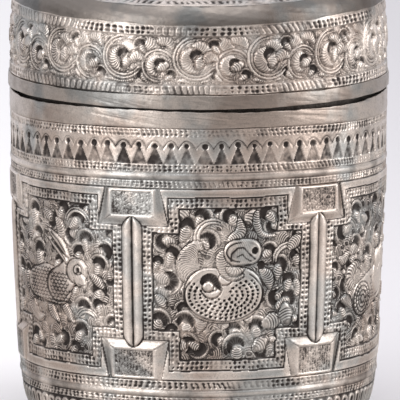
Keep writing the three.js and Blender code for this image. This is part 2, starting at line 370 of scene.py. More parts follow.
class Sheet:
    """Silver laid flat: u runs round the box and v up it. It holds the relief and the finish.

    hatch counts fine engraved lines along each leaf, and score says how deep they are cut.
    """

    def __init__(self, u, v):
        self.u_axis = u
        self.v_axis = v
        self.u, self.v = np.meshgrid(u, v)
        for name in LAYERS:
            setattr(self, name, np.zeros(self.u.shape))
        self.patina += GROUND_PATINA
        self.edge = LINE_PATINA
        speckle = np.random.default_rng(SEED).uniform(0, 1, self.u.shape)
        self.speckle = np.clip(0.5 + 2.6 * (blurred(speckle, 1) - 0.5), 0, 1)

    def turn_over(self):
        """Mirror the whole drawing from left to right."""
        for name in LAYERS:
            setattr(self, name, getattr(self, name)[:, ::-1])

    def put(self, cells, mask, lift, patina, score=0.0, hatch=0.0):
        """Set every layer where the mask is true."""
        for name, values in zip(LAYERS, (lift, patina, hatch, score)):
            layer = getattr(self, name)[cells]
            layer[mask] = values[mask] if isinstance(values, np.ndarray) else values

    def near(self, path, width, margin=0.0):
        """The cells close to a path: each one's distance to it, place along it and half width there."""
        path = np.asarray(path, float)
        reach = np.max(width) + margin
        low, high = path.min(0) - reach, path.max(0) + reach
        cols = slice(*np.searchsorted(self.u_axis, (low[0], high[0])))
        rows = slice(*np.searchsorted(self.v_axis, (low[1], high[1])))
        u, v = self.u[rows, cols][..., None], self.v[rows, cols][..., None]
        start, step = path[:-1], np.diff(path, axis=0)
        length = np.maximum(np.hypot(step[:, 0], step[:, 1]), 1e-9)
        share = ((u - start[:, 0]) * step[:, 0] + (v - start[:, 1]) * step[:, 1]) / length ** 2
        share = np.clip(share, 0, 1)
        off = np.hypot(u - start[:, 0] - share * step[:, 0], v - start[:, 1] - share * step[:, 1])
        nearest = off.argmin(-1)[..., None]
        before = np.concatenate(([0.0], np.cumsum(length)))[:-1]
        along = np.take_along_axis(before + share * length, nearest, -1)[..., 0]
        half = np.interp(along, np.linspace(0, length.sum(), len(path)), np.broadcast_to(width, len(path)))
        return (rows, cols), np.take_along_axis(off, nearest, -1)[..., 0], along, half

    def leaf(self, path, width, lift=LEAF_LIFT, hatch=0.0, line=LINE, patina=LEAF_PATINA, edge=None):
        """A flat lobe with rounded edges along a path, with a chased outline and fine lines across it."""
        cells, off, along, half = self.near(path, width, line)
        inside = off < half
        outline = (off < half + line) & ~inside & (half > 0.05)
        self.put(cells, outline, np.minimum(self.lift[cells], 0.1) - LINE_DEPTH, edge or self.edge)
        share = off / np.maximum(half, 1e-6)
        inward = np.clip((half - off) / EDGE_ROUND, 0, 1)
        dome = 0.75 * inward * (2 - inward) + 0.25 * np.clip(1 - share ** 2, 0, 1)
        cut = (0.9 if hatch else 0.35) * (dome > 0.3)
        lines = (along + 0.35 * half * share ** 2) / (hatch or SKIN_HATCH)
        self.put(cells, inside, lift * dome, patina, cut, lines)

    def hollow(self, path, width, depth=HOLLOW_DEPTH, patina=0.95, hatch=0.0):
        """A punched-in hollow along a path, dark inside."""
        cells, off, along, half = self.near(path, width)
        inside = off < half
        bowl = np.clip(1 - (off / np.maximum(half, 1e-6)) ** 2, 0, 1) ** 0.6
        dark = patina * (0.72 + 0.22 * bowl + (0.3 * self.speckle[cells] - 0.12 if hatch else 0))
        self.put(cells, inside, -depth * bowl, dark, -0.16 if hatch else 0.0, along / (hatch or 1.0))

    def line(self, path, width=LINE, depth=LINE_DEPTH, patina=LINE_PATINA):
        """An engraved line in whatever is there."""
        cells, off, _, _ = self.near(path, width)
        cut = np.clip(1.4 * (1 - off / width), 0, 1)
        self.lift[cells] -= depth * cut
        self.patina[cells] = np.maximum(self.patina[cells], patina * cut)

    def ball(self, u, v, radius, lift=BALL_LIFT, hatch=0.0, tilt=0.0, **finish):
        """A round boss, hatched across if asked."""
        run = np.array((math.cos(math.radians(tilt)), math.sin(math.radians(tilt)))) * radius * 0.12
        if hatch:
            path = ((u, v) - run * 6, (u, v), (u, v) + run * 6)
            self.leaf(path, np.array((0.62, 1.0, 0.62)) * radius, lift, hatch, **finish)
        else:
            self.leaf(((u, v) - run, (u, v) + run), radius, lift, **finish)

    def dots(self, places, radius, depth=0.3):
        for u, v in places:
            self.hollow(((u - 0.01, v), (u + 0.01, v)), radius, depth)


# Motifs

def curl(sheet, u, v, size, facing, band=1, dark=0.92):
    """A rolled leaf tip: a thin contour round a dark hollow, and a bright lobe in the hollow.

    facing is the side the hollow lies on, in degrees, and band is which way the contour tapers.
    """
    if band:
        sweep = 130 + 110 * chance(u, facing)
        path = arc(u, v, 0.98 * size, facing - band * 0.55 * sweep, band * sweep, end_radius=1.06 * size)
        sheet.leaf(path, size * 0.12 * swell(len(path), 0.62), 0.3, 0.0, patina=0.2, edge=0.62)
    path = arc(u, v, 0.52 * size, facing - 112, 224)
    dark = dark + 0.24 * (chance(v, facing) - 0.5)
    sheet.hollow(path, size * 0.33 * swell(len(path), 0.5, 0.6), patina=dark, hatch=HATCH)
    angle = math.radians(facing)
    back = -size * np.array((math.cos(angle), math.sin(angle)))
    aside = 0.22 * size * (band or 0.5) * np.array((-math.sin(angle), math.cos(angle)))
    path = smooth_path(np.array((u, v)) + (-0.1 * back, 0.5 * back + aside, 1.05 * back + 2.4 * aside), 11)
    sheet.leaf(path, 0.44 * size * swell(len(path), 0.34, 0.6), BALL_LIFT, HATCH, edge=0.46)


def rim_lines(sheet, u, v, size, start, sweep):
    """The double contour of a large scroll."""
    for share in (1.0, 0.84):
        path = arc(u, v, share * size, start, sweep)
        sheet.leaf(path, 0.36 * swell(len(path), 0.5, 0.4), lift=0.4)


def smooth_path(points, count=24):
    points = np.asarray(points, float)
    share = np.linspace(0, len(points) - 1, count)
    return np.column_stack([smooth_through(points[:, axis], share) for axis in (0, 1)])


def plume(sheet, points, width, thickest=0.5, hatch=HATCH, lift=LEAF_LIFT):
    """A leaf along a smooth curve through three or more points."""
    path = smooth_path(points)
    sheet.leaf(path, width * swell(len(path), thickest, 0.7), lift, hatch)


def smooth_through(values, share):
    """A Catmull-Rom curve through values that are one apart."""
    index = np.clip(share.astype(int), 0, len(values) - 2)
    t = share - index
    ends = np.concatenate(([2 * values[0] - values[1]], values, [2 * values[-1] - values[-2]]))
    a, b, c, d = ends[index], ends[index + 1], ends[index + 2], ends[index + 3]
    return 0.5 * (2 * b + (c - a) * t + (2 * a - 5 * b + 4 * c - d) * t ** 2
                  + (3 * b - a - 3 * c + d) * t ** 3)


def ground(sheet, seed, spacing=2.7, patina=0.1):
    """Hatched lobes all over the field, so that no part between the curls is bare."""
    random = np.random.default_rng(SEED + seed)
    for v in np.arange(sheet.v_axis[0], sheet.v_axis[-1] + 1, spacing):
        for u in np.arange(sheet.u_axis[0], sheet.u_axis[-1] + 1, spacing):
            du, dv = random.uniform(-0.6, 0.6, 2)
            radius, tilt = random.uniform(1.2, 1.9), random.uniform(0, 180)
            dark = patina + random.uniform(-0.1, 0.16)
            sheet.ball(u + du, v + dv, radius, 0.2, HATCH, tilt, patina=dark, line=0.16, edge=0.36)


# Panels. Curls are (u, v, size, side of the hollow in degrees, way the contour tapers)

SERPENT_CURLS = (
    (-10.4, 54.6, 3.2, 95, 1), (-6.9, 57.2, 2.7, 50, -1), (-2.6, 58.2, 1.6, 90, 0),
    (0.4, 57.2, 2.5, 150, 1), (-15.8, 51.4, 2.6, 200, 1), (-14.2, 48.1, 2.5, 50, -1),
    (-17.5, 46.2, 2.0, 80, 0), (-15.3, 41.7, 3.4, 0, 1), (-5.7, 51.2, 3.1, 40, -1),
    (-17.4, 31.6, 3.0, 70, 1), (-11.2, 34.9, 2.0, 130, 1), (-10.8, 31.2, 3.1, 80, -1),
    (-14.2, 29.4, 2.3, 100, 0), (-10.7, 25.9, 3.1, 20, 1), (-7.6, 25.5, 2.5, -50, -1),
    (-13.3, 23.6, 1.9, 250, 0), (-2.3, 27.3, 2.4, 160, 1), (1.3, 29.4, 2.9, 110, -1),
    (2.1, 25.2, 3.4, 115, 1), (6.9, 29.9, 2.8, 80, -1), (12.5, 37.2, 2.8, 185, -1),
    (15.2, 36.4, 3.2, 60, 1), (12.7, 44.6, 2.9, 55, -1), (15.6, 41.0, 2.6, 85, 0),
    (10.2, 48.5, 2.2, 60, 1), (11.2, 54.6, 2.3, 200, -1), (9.8, 57.8, 2.6, 150, 1),
    (8.3, 24.2, 2.4, -80, 1), (17.6, 47.0, 2.2, 120, 1), (18.0, 52.0, 2.1, 200, -1),
    (17.9, 31.4, 2.0, -40, -1), (12.2, 27.0, 1.9, 30, 1),
)


def serpent(sheet):
    """A spotted coiled body with a crested round head, among curls."""
    rim_lines(sheet, -3.9, 52.3, 4.4, 60, 190)
    rim_lines(sheet, 15.3, 46.2, 4.0, 20, 170)
    for u, v, radius, tilt in ((11.3, 31.5, 2.2, 20), (14.9, 33.0, 2.2, 100), (5.3, 56.9, 1.7, 60),
                               (8.2, 26.0, 1.9, 40), (-11.3, 58.7, 1.9, 60), (4.7, 32.9, 1.4, 120)):
        sheet.ball(u, v, radius, 0.48, 0.7, tilt)
    plume(sheet, ((15.2, 48.6), (17.0, 50.4), (19.4, 52.0)), 1.5)
    plume(sheet, ((-9.6, 34.4), (-7.0, 32.4), (-7.6, 28.9)), 1.5)
    plume(sheet, ((-3.6, 32.6), (-1.0, 31.4), (-1.6, 29.8)), 1.2)
    plume(sheet, ((7.6, 44.6), (9.8, 42.4), (10.6, 39.2)), 1.5)
    plume(sheet, ((-18.4, 38.4), (-16.6, 36.6), (-15.6, 35.0)), 1.2)
    plume(sheet, ((17.4, 41.4), (18.4, 39.0), (17.6, 37.0)), 1.1)
    # Tail, coil and the comma cut out of the coil
    plume(sheet, ((-4.4, 42.8), (-8.4, 43.0), (-10.2, 46.4), (-8.0, 50.2), (-6.2, 49.2)), 2.9, 0.4, 0.46)
    sheet.leaf(arc(-1.2, 38.5, 2.6, 180, 180, points=8) * (1.35, 0.35) + (0.42, 25.2), 6.3, 0.42)
    coil_dots(sheet, -1.2, 38.3, 9.4, 6.2)
    sheet.line(arc_oval(-1.2, 38.3, 9.7, 6.4, 150, 260), 0.34)
    sheet.leaf(arc(-4.4, 40.6, 2.3, 200, 160, points=10), 0.8 * swell(10), 0.48)
    sheet.hollow(smooth_path(((-6.9, 40.8), (-6.0, 42.3), (-4.3, 42.6), (-3.0, 41.0), (-2.0, 39.4))),
                 1.05 * swell(24, 0.45, 0.6), 0.48, hatch=HATCH)
    sheet.ball(-5.2, 40.4, 1.2)
    sheet.ball(-1.0, 42.2, 1.45)
    # Crest, neck and head
    plume(sheet, ((-0.4, 51.4), (2.7, 53.4), (2.4, 57.4)), 1.35, 0.4)
    plume(sheet, ((7.0, 58.8), (6.8, 55.6), (8.4, 52.7), (12.2, 52.3)), 0.95, 0.3)
    plume(sheet, ((-1.6, 49.4), (-1.5, 46.6), (0.6, 43.4), (3.9, 42.9)), 2.0, 0.45)
    sheet.leaf(((1.9, 48.6), (5.0, 48.7)), 3.15, 0.5)
    plume(sheet, ((-1.0, 45.2), (1.2, 43.9), (3.9, 44.6)), 1.1, 0.5, 0.6)
    sheet.line(arc_oval(3.2, 48.7, 3.9, 2.35, 95, 165))
    sheet.line(((0.4, 46.6), (0.5, 48.3), (2.0, 49.7), (3.5, 49.8), (4.9, 48.2), (6.4, 46.9)), 0.3)
    sheet.line(((2.0, 47.6), (3.2, 48.2), (4.0, 47.2), (5.4, 46.4)), 0.22)
    sheet.dots(((6.4, 48.9),), 0.85, 0.4)
    sheet.dots(((8.1, 45.3),), 1.05, 0.5)


def arc_oval(u, v, half_u, half_v, start, sweep, points=40):
    angle = np.radians(start + sweep * np.linspace(0, 1, points))
    return np.column_stack((u + half_u * np.cos(angle), v + half_v * np.sin(angle)))


def coil_dots(sheet, u, v, half_u, half_v):
    """Rows of spots that follow the coil."""
    for row, share in enumerate((0.9, 0.76, 0.62, 0.48, 0.34, 0.2)):
        count = int(round(2 * math.pi * share * (half_u + half_v) / 2 * 0.78 / 1.15))
        path = arc_oval(u, v, half_u * share, half_v * share, -210 + 7 * row, 255, count)
        for index, (start, end) in enumerate(zip(path[:-1], path[1:])):
            if (start[0] + 4.2) ** 2 + (start[1] - 41.4) ** 2 > 9.5:
                stroke = (end - start) * (0.22 + 0.16 * chance(index, row))
                lean = np.array((-stroke[1], stroke[0])) * 0.3
                wide = 0.29 + 0.12 * chance(index, row + 7)
                dark = 0.7 + 0.25 * chance(index, row + 11)
                sheet.hollow((start - lean, start + stroke + lean), (wide, 0.12), 0.2, dark)


HARE_CURLS = (
    (-7.0, 50.0, 2.8, 60, 1), (-6.6, 46.0, 3.0, 80, -1), (1.4, 44.4, 2.2, 70, 0),
    (6.4, 51.6, 2.6, 215, 1), (10.6, 50.2, 2.8, 80, -1), (8.6, 47.0, 2.5, 90, 1),
    (16.0, 47.6, 3.0, 35, 1), (14.4, 44.4, 2.7, 60, -1), (14.6, 38.0, 3.2, 90, 1),
    (14.2, 34.6, 2.2, 120, 0), (9.4, 33.4, 2.9, 60, -1), (7.6, 38.6, 2.0, 90, 1),
    (8.6, 27.6, 3.0, 80, 1), (2.0, 25.8, 2.8, 0, -1), (6.6, 23.8, 2.2, 60, 0),
    (-10.0, 24.6, 3.0, 80, 1), (-15.0, 24.8, 2.4, 90, -1), (-7.0, 24.2, 2.2, -40, 1),
    (-11.0, 31.8, 2.6, 90, -1), (-17.6, 40.6, 2.8, 80, 1), (-13.2, 40.4, 2.2, 70, -1),
    (8.4, 55.4, 3.0, 70, 1), (3.4, 57.4, 2.6, 40, -1), (-1.0, 54.8, 2.8, -20, 1),
    (-8.4, 55.6, 3.0, 80, -1), (-14.6, 53.0, 2.7, 200, 1), (-17.4, 47.0, 2.5, 60, -1),
    (-17.8, 33.0, 2.6, 120, 1), (10.8, 58.2, 2.0, 150, 0), (17.8, 41.4, 1.9, -60, 1),
    (18.2, 52.4, 2.0, 120, -1), (18.0, 30.6, 2.0, 100, 1),
)


def hare(sheet):
    """A running hare with long ears laid back, among curls."""
    rim_lines(sheet, 8.2, 54.0, 4.0, 20, 150)
    rim_lines(sheet, 10.6, 29.6, 3.8, 30, 120)
    plume(sheet, ((1.0, 55.4), (2.8, 52.6), (2.4, 49.6)), 1.4)
    plume(sheet, ((12.0, 42.2), (13.8, 41.0), (16.4, 38.8)), 1.2)
    # Hind leg, forelegs and belly
    plume(sheet, ((-9.4, 37.6), (-11.6, 33.4), (-8.2, 30.0), (-4.6, 30.6)), 1.9, 0.4, FUR)
    plume(sheet, ((-2.4, 35.4), (-1.6, 32.0), (1.4, 29.4)), 1.3, 0.4, FUR)
    plume(sheet, ((2.6, 35.0), (4.4, 32.2), (6.6, 29.6)), 1.2, 0.4, FUR)
    sheet.leaf(((-8.6, 38.4), (-3.6, 38.8), (1.4, 38.2)), (3.6, 4.6, 4.4), 0.46)
    scales(sheet, -10.6, 34.4, 4.2, 43.0)
    # Chest, head, ears and muzzle
    sheet.leaf(((1.0, 38.6), (3.4, 40.4), (6.4, 43.2)), (4.0, 3.4, 2.9), 0.46)
    scales(sheet, -1.4, 35.2, 5.0, 42.6)
    for lean in (0.0, 1.9):
        plume(sheet, ((5.4, 43.8 + lean), (2.4, 47.2 + lean), (-2.4, 50.4 + lean)), 1.1, 0.45, 0)
        sheet.line(((4.2, 45.2 + lean), (2.0, 47.6 + lean), (-0.8, 49.6 + lean)))
    sheet.ball(7.9, 42.6, 3.0, 0.46)
    plume(sheet, ((7.0, 41.4), (9.6, 40.0), (10.4, 38.4)), 1.7, 0.4, 0)
    eye(sheet, 8.3, 43.0, 1.25, 0.6)
    sheet.line(((8.4, 39.6), (9.4, 39.2), (10.4, 39.3)))


def eye(sheet, u, v, radius, pupil):
    sheet.line(arc(u, v, radius, 0, 360))
    sheet.dots(((u, v),), pupil, 0.35)


def scales(sheet, low_u, low_v, high_u, high_v):
    """Rows of small curved scales, like a net over the coat."""
    for row, v in enumerate(np.arange(low_v, high_v, SCALE_PITCH * 0.62)):
        for u in np.arange(low_u + (row % 2) * SCALE_PITCH / 2, high_u, SCALE_PITCH):
            sheet.line(arc(u, v, 0.56, 200, 140, points=6), 0.2, 0.16, 0.75)


BEAST_CURLS = (
    (-17.6, 50.0, 2.4, 200, 1), (-14.6, 51.6, 3.0, 180, -1), (-9.4, 47.4, 2.8, 60, 1),
    (-11.6, 43.6, 2.2, 200, -1), (-13.4, 38.4, 2.4, 180, 1), (-14.6, 32.4, 2.6, 100, -1),
    (-18.2, 31.8, 1.9, 180, 0), (-11.4, 28.4, 2.5, 60, 1), (-9.6, 55.6, 2.8, 90, -1),
    (-4.6, 53.4, 2.8, 0, 1), (-6.2, 50.6, 2.0, -50, 0), (-3.0, 44.4, 2.9, 60, -1),
    (-7.4, 25.0, 2.4, 140, 1), (-4.0, 23.6, 2.2, -60, -1), (1.6, 26.0, 2.8, 90, 1),
    (6.8, 25.4, 2.8, 20, -1), (11.0, 27.6, 2.4, 80, 1), (1.4, 56.6, 2.8, 100, 1),
    (7.0, 55.4, 3.0, 40, -1), (11.6, 57.0, 2.2, 150, 0), (14.0, 52.0, 3.0, 70, 1),
    (18.0, 50.0, 2.2, 180, -1), (16.4, 45.4, 2.9, 0, 1), (18.0, 40.0, 2.0, 90, 0),
    (15.6, 35.0, 3.0, 60, -1), (17.8, 30.4, 2.2, 120, 1), (10.2, 32.0, 2.6, -30, -1),
    (3.4, 48.8, 2.6, 120, 1), (9.4, 47.4, 2.8, 70, -1), (-17.8, 42.6, 2.1, 80, 1),
    (-17.6, 36.6, 2.0, 0, -1),
)


def beast(sheet):
    """A maned beast walking, its haunch cut in rings, among curls."""
    rim_lines(sheet, -13.0, 50.6, 3.9, 10, 120)
    plume(sheet, ((-16.8, 45.2), (-14.4, 44.6), (-12.4, 46.6)), 1.2)
    plume(sheet, ((-15.4, 35.0), (-12.4, 34.4), (-10.4, 32.2)), 1.3)
    # Legs, trunk, haunch, shoulder and head
    for leg in (((-7.4, 27.4), (-6.6, 30.0), (-5.6, 33.0)), ((-1.2, 27.0), (-2.6, 30.0), (-3.4, 33.4)),
                ((4.8, 27.6), (4.0, 30.4), (4.6, 33.6)), ((9.4, 28.6), (8.0, 31.0), (7.4, 34.4))):
        plume(sheet, leg, 1.5, 0.6, FUR)
    sheet.leaf(((-5.6, 34.2), (0.0, 36.0), (6.4, 37.4)), (4.3, 4.3, 4.6), 0.46)
    scales(sheet, -0.6, 32.4, 5.4, 39.6)
    for radius in (1.0, 2.1, 3.2, 4.2):
        sheet.line(arc(-5.4, 34.0, radius, 0, 360, points=36), 0.3)
    for radius in (1.55, 2.65, 3.7):
        sheet.dots(arc(-5.4, 34.0, radius, 10, 350, points=int(radius * 6)), 0.24)
    plume(sheet, ((-9.6, 36.6), (-12.0, 40.0), (-8.8, 42.8), (-6.6, 41.6)), 1.6, 0.4, 0.8)
    sheet.leaf(((5.0, 38.0), (8.4, 41.6)), (4.2, 3.6), 0.48)
    for lean in range(6):
        plume(sheet, ((4.4 + lean * 0.9, 39.8 + lean * 0.5), (3.2 + lean, 42.6 + lean * 0.4),
                      (3.4 + lean * 1.2, 45.0 + lean * 0.2)), 0.8, 0.5, 0, 0.5)
    sheet.ball(10.6, 41.8, 3.0, 0.5)
    plume(sheet, ((11.0, 41.0), (13.4, 40.2), (14.6, 38.8)), 1.8, 0.4, 0)
    eye(sheet, 11.2, 42.6, 1.0, 0.5)
    sheet.line(((12.0, 39.4), (13.4, 39.0), (14.6, 39.2)))


# Each panel's figure and curls, in order round the box, and whether they are turned the other way
PANEL_FIGURES = (
    (serpent, SERPENT_CURLS, False), (beast, BEAST_CURLS, False), (hare, HARE_CURLS, True),
    (serpent, SERPENT_CURLS, True), (beast, BEAST_CURLS, True), (hare, HARE_CURLS, False),
)


def panel_frame(u, v):
    """Distance out from the cross-shaped field's edge, and how far along that edge a point is."""
    best = None
    for half_u, low, high in ((WIDE_HALF, WIDE_LOW, WIDE_HIGH), (ARM_HALF, ARM_LOW, ARM_HIGH)):
        across = np.abs(u) - half_u
        upright = np.abs(v - (low + high) / 2) - (high - low) / 2
        out = np.maximum(across, upright)
        along = np.where(across > upright, v, u)
        if best is None:
            best = (out, along)
        else:
            nearer = out < best[0]
            best = (np.where(nearer, out, best[0]), np.where(nearer, along, best[1]))
    return best


def chance(index, seed):
    """A number from 0 to 1 that belongs to a whole number, the same each time."""
    return (np.sin(index * 12.9898 + seed * 78.233) * 43758.5453) % 1


def punch_pair(along, across, pitch, half_width, seed):
    """Two facing lines of punch marks: 1 in the middle of a mark, 0 on the metal between."""
    index = np.floor(along / pitch)
    side = np.where(across > 0, 1.0, 0.0) + seed
    size = 0.72 + 0.5 * chance(index, side)
    s = along / pitch - index - 0.5 - 0.3 * (chance(index, side + 5) - 0.5)
    t = np.abs(across) / half_width - 0.5 + 0.16 * (chance(index, side + 9) - 0.5)
    s = s + 0.5 * t * (chance(index, side + 17) - 0.4)
    drop = np.hypot(s / (0.44 - 0.2 * np.clip(t + 0.2, 0, 1)), t / 0.44) / size
    return np.clip(1.9 - 1.9 * drop, 0, 1) * (0.7 + 0.3 * chance(index, side + 13))


def lay_bosses(field, number):
    """Flat-topped bosses with mitred bevels, where the uprights meet the bands above and below."""
    random = np.random.default_rng(SEED + 900 + number)
    grain = random.uniform(0, 1, field.u.shape)
    grain = np.clip(0.5 + (blurred(grain, 1) - 0.5) * 1.2 + (grain - 0.5) * 0.9, 0, 1)
    # Neighbouring panels share the middle of a boss, so both of its edges are the same everywhere
    for column in (0, 1, -2, -1):
        grain[:, column] = np.random.default_rng(SEED).uniform(0.2, 0.8, len(grain))
    du = PANEL_HALF - np.abs(field.u)
    ribs = 0.5 + 0.5 * np.cos(2 * math.pi * (du + 0.08 * np.sin(2.1 * field.v)) / 0.78)
    for low, flat_low, flat_high, high in BOSS_REACH:
        above = (field.v - flat_high) / (high - flat_high)
        below = (flat_low - field.v) / (flat_low - low)
        flare = (field.v - low) / (high - low)
        flare = BOSS_FLARE * np.clip(flare if low < PATTERN_MIDDLE else 1 - flare, 0, 1)
        aside = (du - BOSS_FLAT_HALF) / (BOSS_HALF + flare - BOSS_FLAT_HALF)
        upright = np.maximum(above, below)
        slope = np.maximum(upright, aside)
        bevel = (slope > 0) & (slope < 1)
        rolled = 0.1 + BOSS_LIFT * (1 - slope) + 0.16 * np.sin(2 * math.pi * np.clip(slope, 0, 1))
        field.put(EVERYWHERE, bevel, rolled, 0.06 + 0.14 * grain)
        field.put(EVERYWHERE, bevel & (np.abs(upright - aside) < 0.07), rolled - 0.1, 0.42)
        field.put(EVERYWHERE, bevel & (slope > 0.9), 0.05, 0.75)
        ribbed = 0.5 if low < PATTERN_MIDDLE else 0.35
        rough = grain * (1 - ribbed + ribbed * ribs)
        worn = 0.1 + 0.78 * rough
        field.put(EVERYWHERE, slope <= 0, BOSS_LIFT + 0.05 - 0.16 * rough, worn)
        field.put(EVERYWHERE, (slope > -0.1) & (slope <= -0.03), BOSS_LIFT, 0.5)
        field.put(EVERYWHERE, (slope > -0.03) & (slope <= 0.07), BOSS_LIFT + 0.06, 0.1)


def lay_uprights(field, number):
    """Two half-round ridges between the panels, with a dark line between them and rounded ends."""
    random = np.random.default_rng(SEED + 700 + number)
    grain = blurred(random.uniform(0, 1, field.u.shape), 2)
    grain = np.clip(0.5 + (grain - 0.5) * 4, 0, 1)
    middle = (UPRIGHT_LOW + UPRIGHT_HIGH) / 2
    beyond = np.clip(np.abs(field.v - middle) - ((UPRIGHT_HIGH - UPRIGHT_LOW) / 2 - 3.2), 0, None) / 3.2
    taper = np.clip(1 - beyond ** 1.7, 0, 1) ** 0.75
    half = np.maximum((PANEL_HALF - 0.12 - WIDE_HALF) * taper / 2, 0.02)
    share = np.abs(np.abs(field.u) - (PANEL_HALF - 0.12 - half)) / half
    reach = (np.abs(field.u) > WIDE_HALF - 0.1) & (beyond < 1)
    dark = np.abs(np.abs(field.u) - (PANEL_HALF - 0.12 - half)) < half + 0.3
    field.put(EVERYWHERE, reach & dark, 0.15, 0.8)
    rounded = np.clip(1 - share ** 2, 0, 1) ** 0.5 * np.clip(half / 0.8, 0, 1)
    field.put(EVERYWHERE, reach & (share < 1), 0.2 + UPRIGHT_LIFT * rounded + 0.05 * grain,
              0.05 + 0.2 * grain + 0.4 * (share > 0.86))


def edged_axis(low, high, step):
    """Even steps, but a hair's breadth at both ends, so that the cut end doesn't tint the last step."""
    count = int(round((high - low) / step)) - 1
    return np.concatenate(((low,), np.linspace(low + HAIR, high - HAIR, count), (high,)))


def draw_panel(number, step):
    """The relief and finish of one panel with its bead border, uprights, bands and half bosses."""
    figure, curls, turned = PANEL_FIGURES[number]
    rows = int(round((PANEL_HIGH - PANEL_LOW) / step)) + 1
    field = Sheet(edged_axis(-PANEL_HALF, PANEL_HALF, step), np.linspace(PANEL_LOW, PANEL_HIGH, rows))
    ground(field, number)
    for entry in curls:
        curl(field, *entry)
    figure(field)
    if turned:
        field.turn_over()
    u, v = field.u, field.v
    uneven_u = 0.10 * np.sin(v * 0.43 + number) + 0.05 * np.sin(v * 1.3)
    uneven_v = 0.10 * np.sin(u * 0.37 + 2 * number) + 0.04 * np.sin(u * 1.1)
    out, along = panel_frame(u + uneven_u, v + uneven_v)
    field.put(EVERYWHERE, (out > -BORDER - 0.4) & (out <= -BORDER), -0.08, 0.75)
    marks = punch_pair(along, out + BORDER / 2, PANEL_PUNCH_PITCH, BORDER / 2, number)
    marks = marks * np.clip(0.78 + 0.3 * np.sin(along * 0.31 + u * 0.17 + number * 1.7)
                            + 0.2 * np.sin(along * 0.83 + number), 0.4, 1)
    field.put(EVERYWHERE, (out > -BORDER) & (out <= 0), BORDER_LIFT - 0.4 * marks, 0.2 + 0.75 * marks)
    field.put(EVERYWHERE, out > 0, BAND_LIFT + 0.12 * np.abs(out - 1.2), 0.1)
    field.put(EVERYWHERE, (out > -0.05) & (out < 0.3), 0.1, 0.78)
    field.put(EVERYWHERE, (v > PANEL_HIGH - 0.25) | (v < PANEL_LOW + 0.25), 0.25, 0.6)
    lay_bosses(field, number)
    lay_uprights(field, number)
    return field


# Bands that run all the way round

def rows_between(sheet, low, high):
    """The rows between two heights, and the angle round the box in each of their cells."""
    rows = slice(*np.searchsorted(sheet.v_axis, (low, high)))
    return rows, sheet.u[rows] / sheet.turn_radius


def repeats(theta, count, seed, harmonics, unevenness):
    """Counts repeats round the box, unevenly spaced."""
    return theta * count / (2 * math.pi) + wander(theta, seed, harmonics, unevenness)


def punch_band(sheet, low, high, count, base=0.45, bars=False, seed=0):
    """A row of facing punch marks between two heights. As bars, parts of it are upright beads."""
    rows, theta = rows_between(sheet, low, high)
    phase = repeats(theta, count, seed, (3, 7, 13, 22), 0.45)
    across = sheet.v[rows] - (low + high) / 2 + wander(theta, seed + 60, (4, 9, 15), 0.06)
    half = (high - low) / 2
    phase = phase + across / half * wander(theta, seed + 80, (1, 3, 8), 0.42)
    marks = punch_pair(phase, across, 1.0, half, seed)
    # In places a narrower cut joins the two marks of a pair, so that upright beads stand between them
    joined = np.clip(0.35 + wander(theta, seed + 90, (2, 5, 11), 0.8), 0, 0.8)
    neck = np.clip(1.5 - np.abs(phase % 1 - 0.5) / 0.17, 0, 1) * (np.abs(across) < 0.6 * half)
    marks = np.maximum(marks, joined * neck)
    if bars:
        index = np.floor(phase)
        s = phase - index - 0.5
        bead = np.clip(1 - (s / 0.37) ** 2 - (across / half) ** 4, 0, 1) ** 0.5
        share = np.clip(0.6 + wander(theta, seed + 30, (2, 5, 8, 11), 1.2), 0.15, 1)
        gap = 1 - np.clip(bead * 1.8, 0, 1)
        marks = marks * share + 0.58 * gap * (1 - share)
    else:
        marks = marks * np.clip(0.86 + wander(theta, seed + 40, (2, 5, 9, 14), 0.8), 0.42, 1)
    every = np.ones(marks.shape, bool)
    sheet.put((rows, slice(None)), every, base - 0.4 * marks, 0.2 + 0.72 * marks)


def round_ridge(sheet, low, high, lift):
    """A half-round ridge with a dark line along each side."""
    rows, theta = rows_between(sheet, low - 0.15, high + 0.15)
    centre = (low + high) / 2 + wander(theta, int(low * 10), (2, 5, 9), 0.05)
    share = np.abs(sheet.v[rows] - centre) / ((high - low) / 2)
    rounded = np.clip(1 - share ** 2, 0, 1) ** 0.6
    sheet.lift[rows] = np.where(share < 1, 0.12 + lift * rounded, 0.1)
    dark = 0.5 + np.clip(wander(theta, int(low * 10) + 1, (3, 7, 12, 19), 0.4), -0.2, 0.2)
    sheet.patina[rows] = np.where(share < 0.9, 0.37, dark)
    sheet.score[rows] = 0


def plain_rows(sheet, low, high, lift, patina=0.12):
    rows, _ = rows_between(sheet, low, high)
    sheet.lift[rows] = lift
    sheet.patina[rows] = patina
    sheet.score[rows] = 0


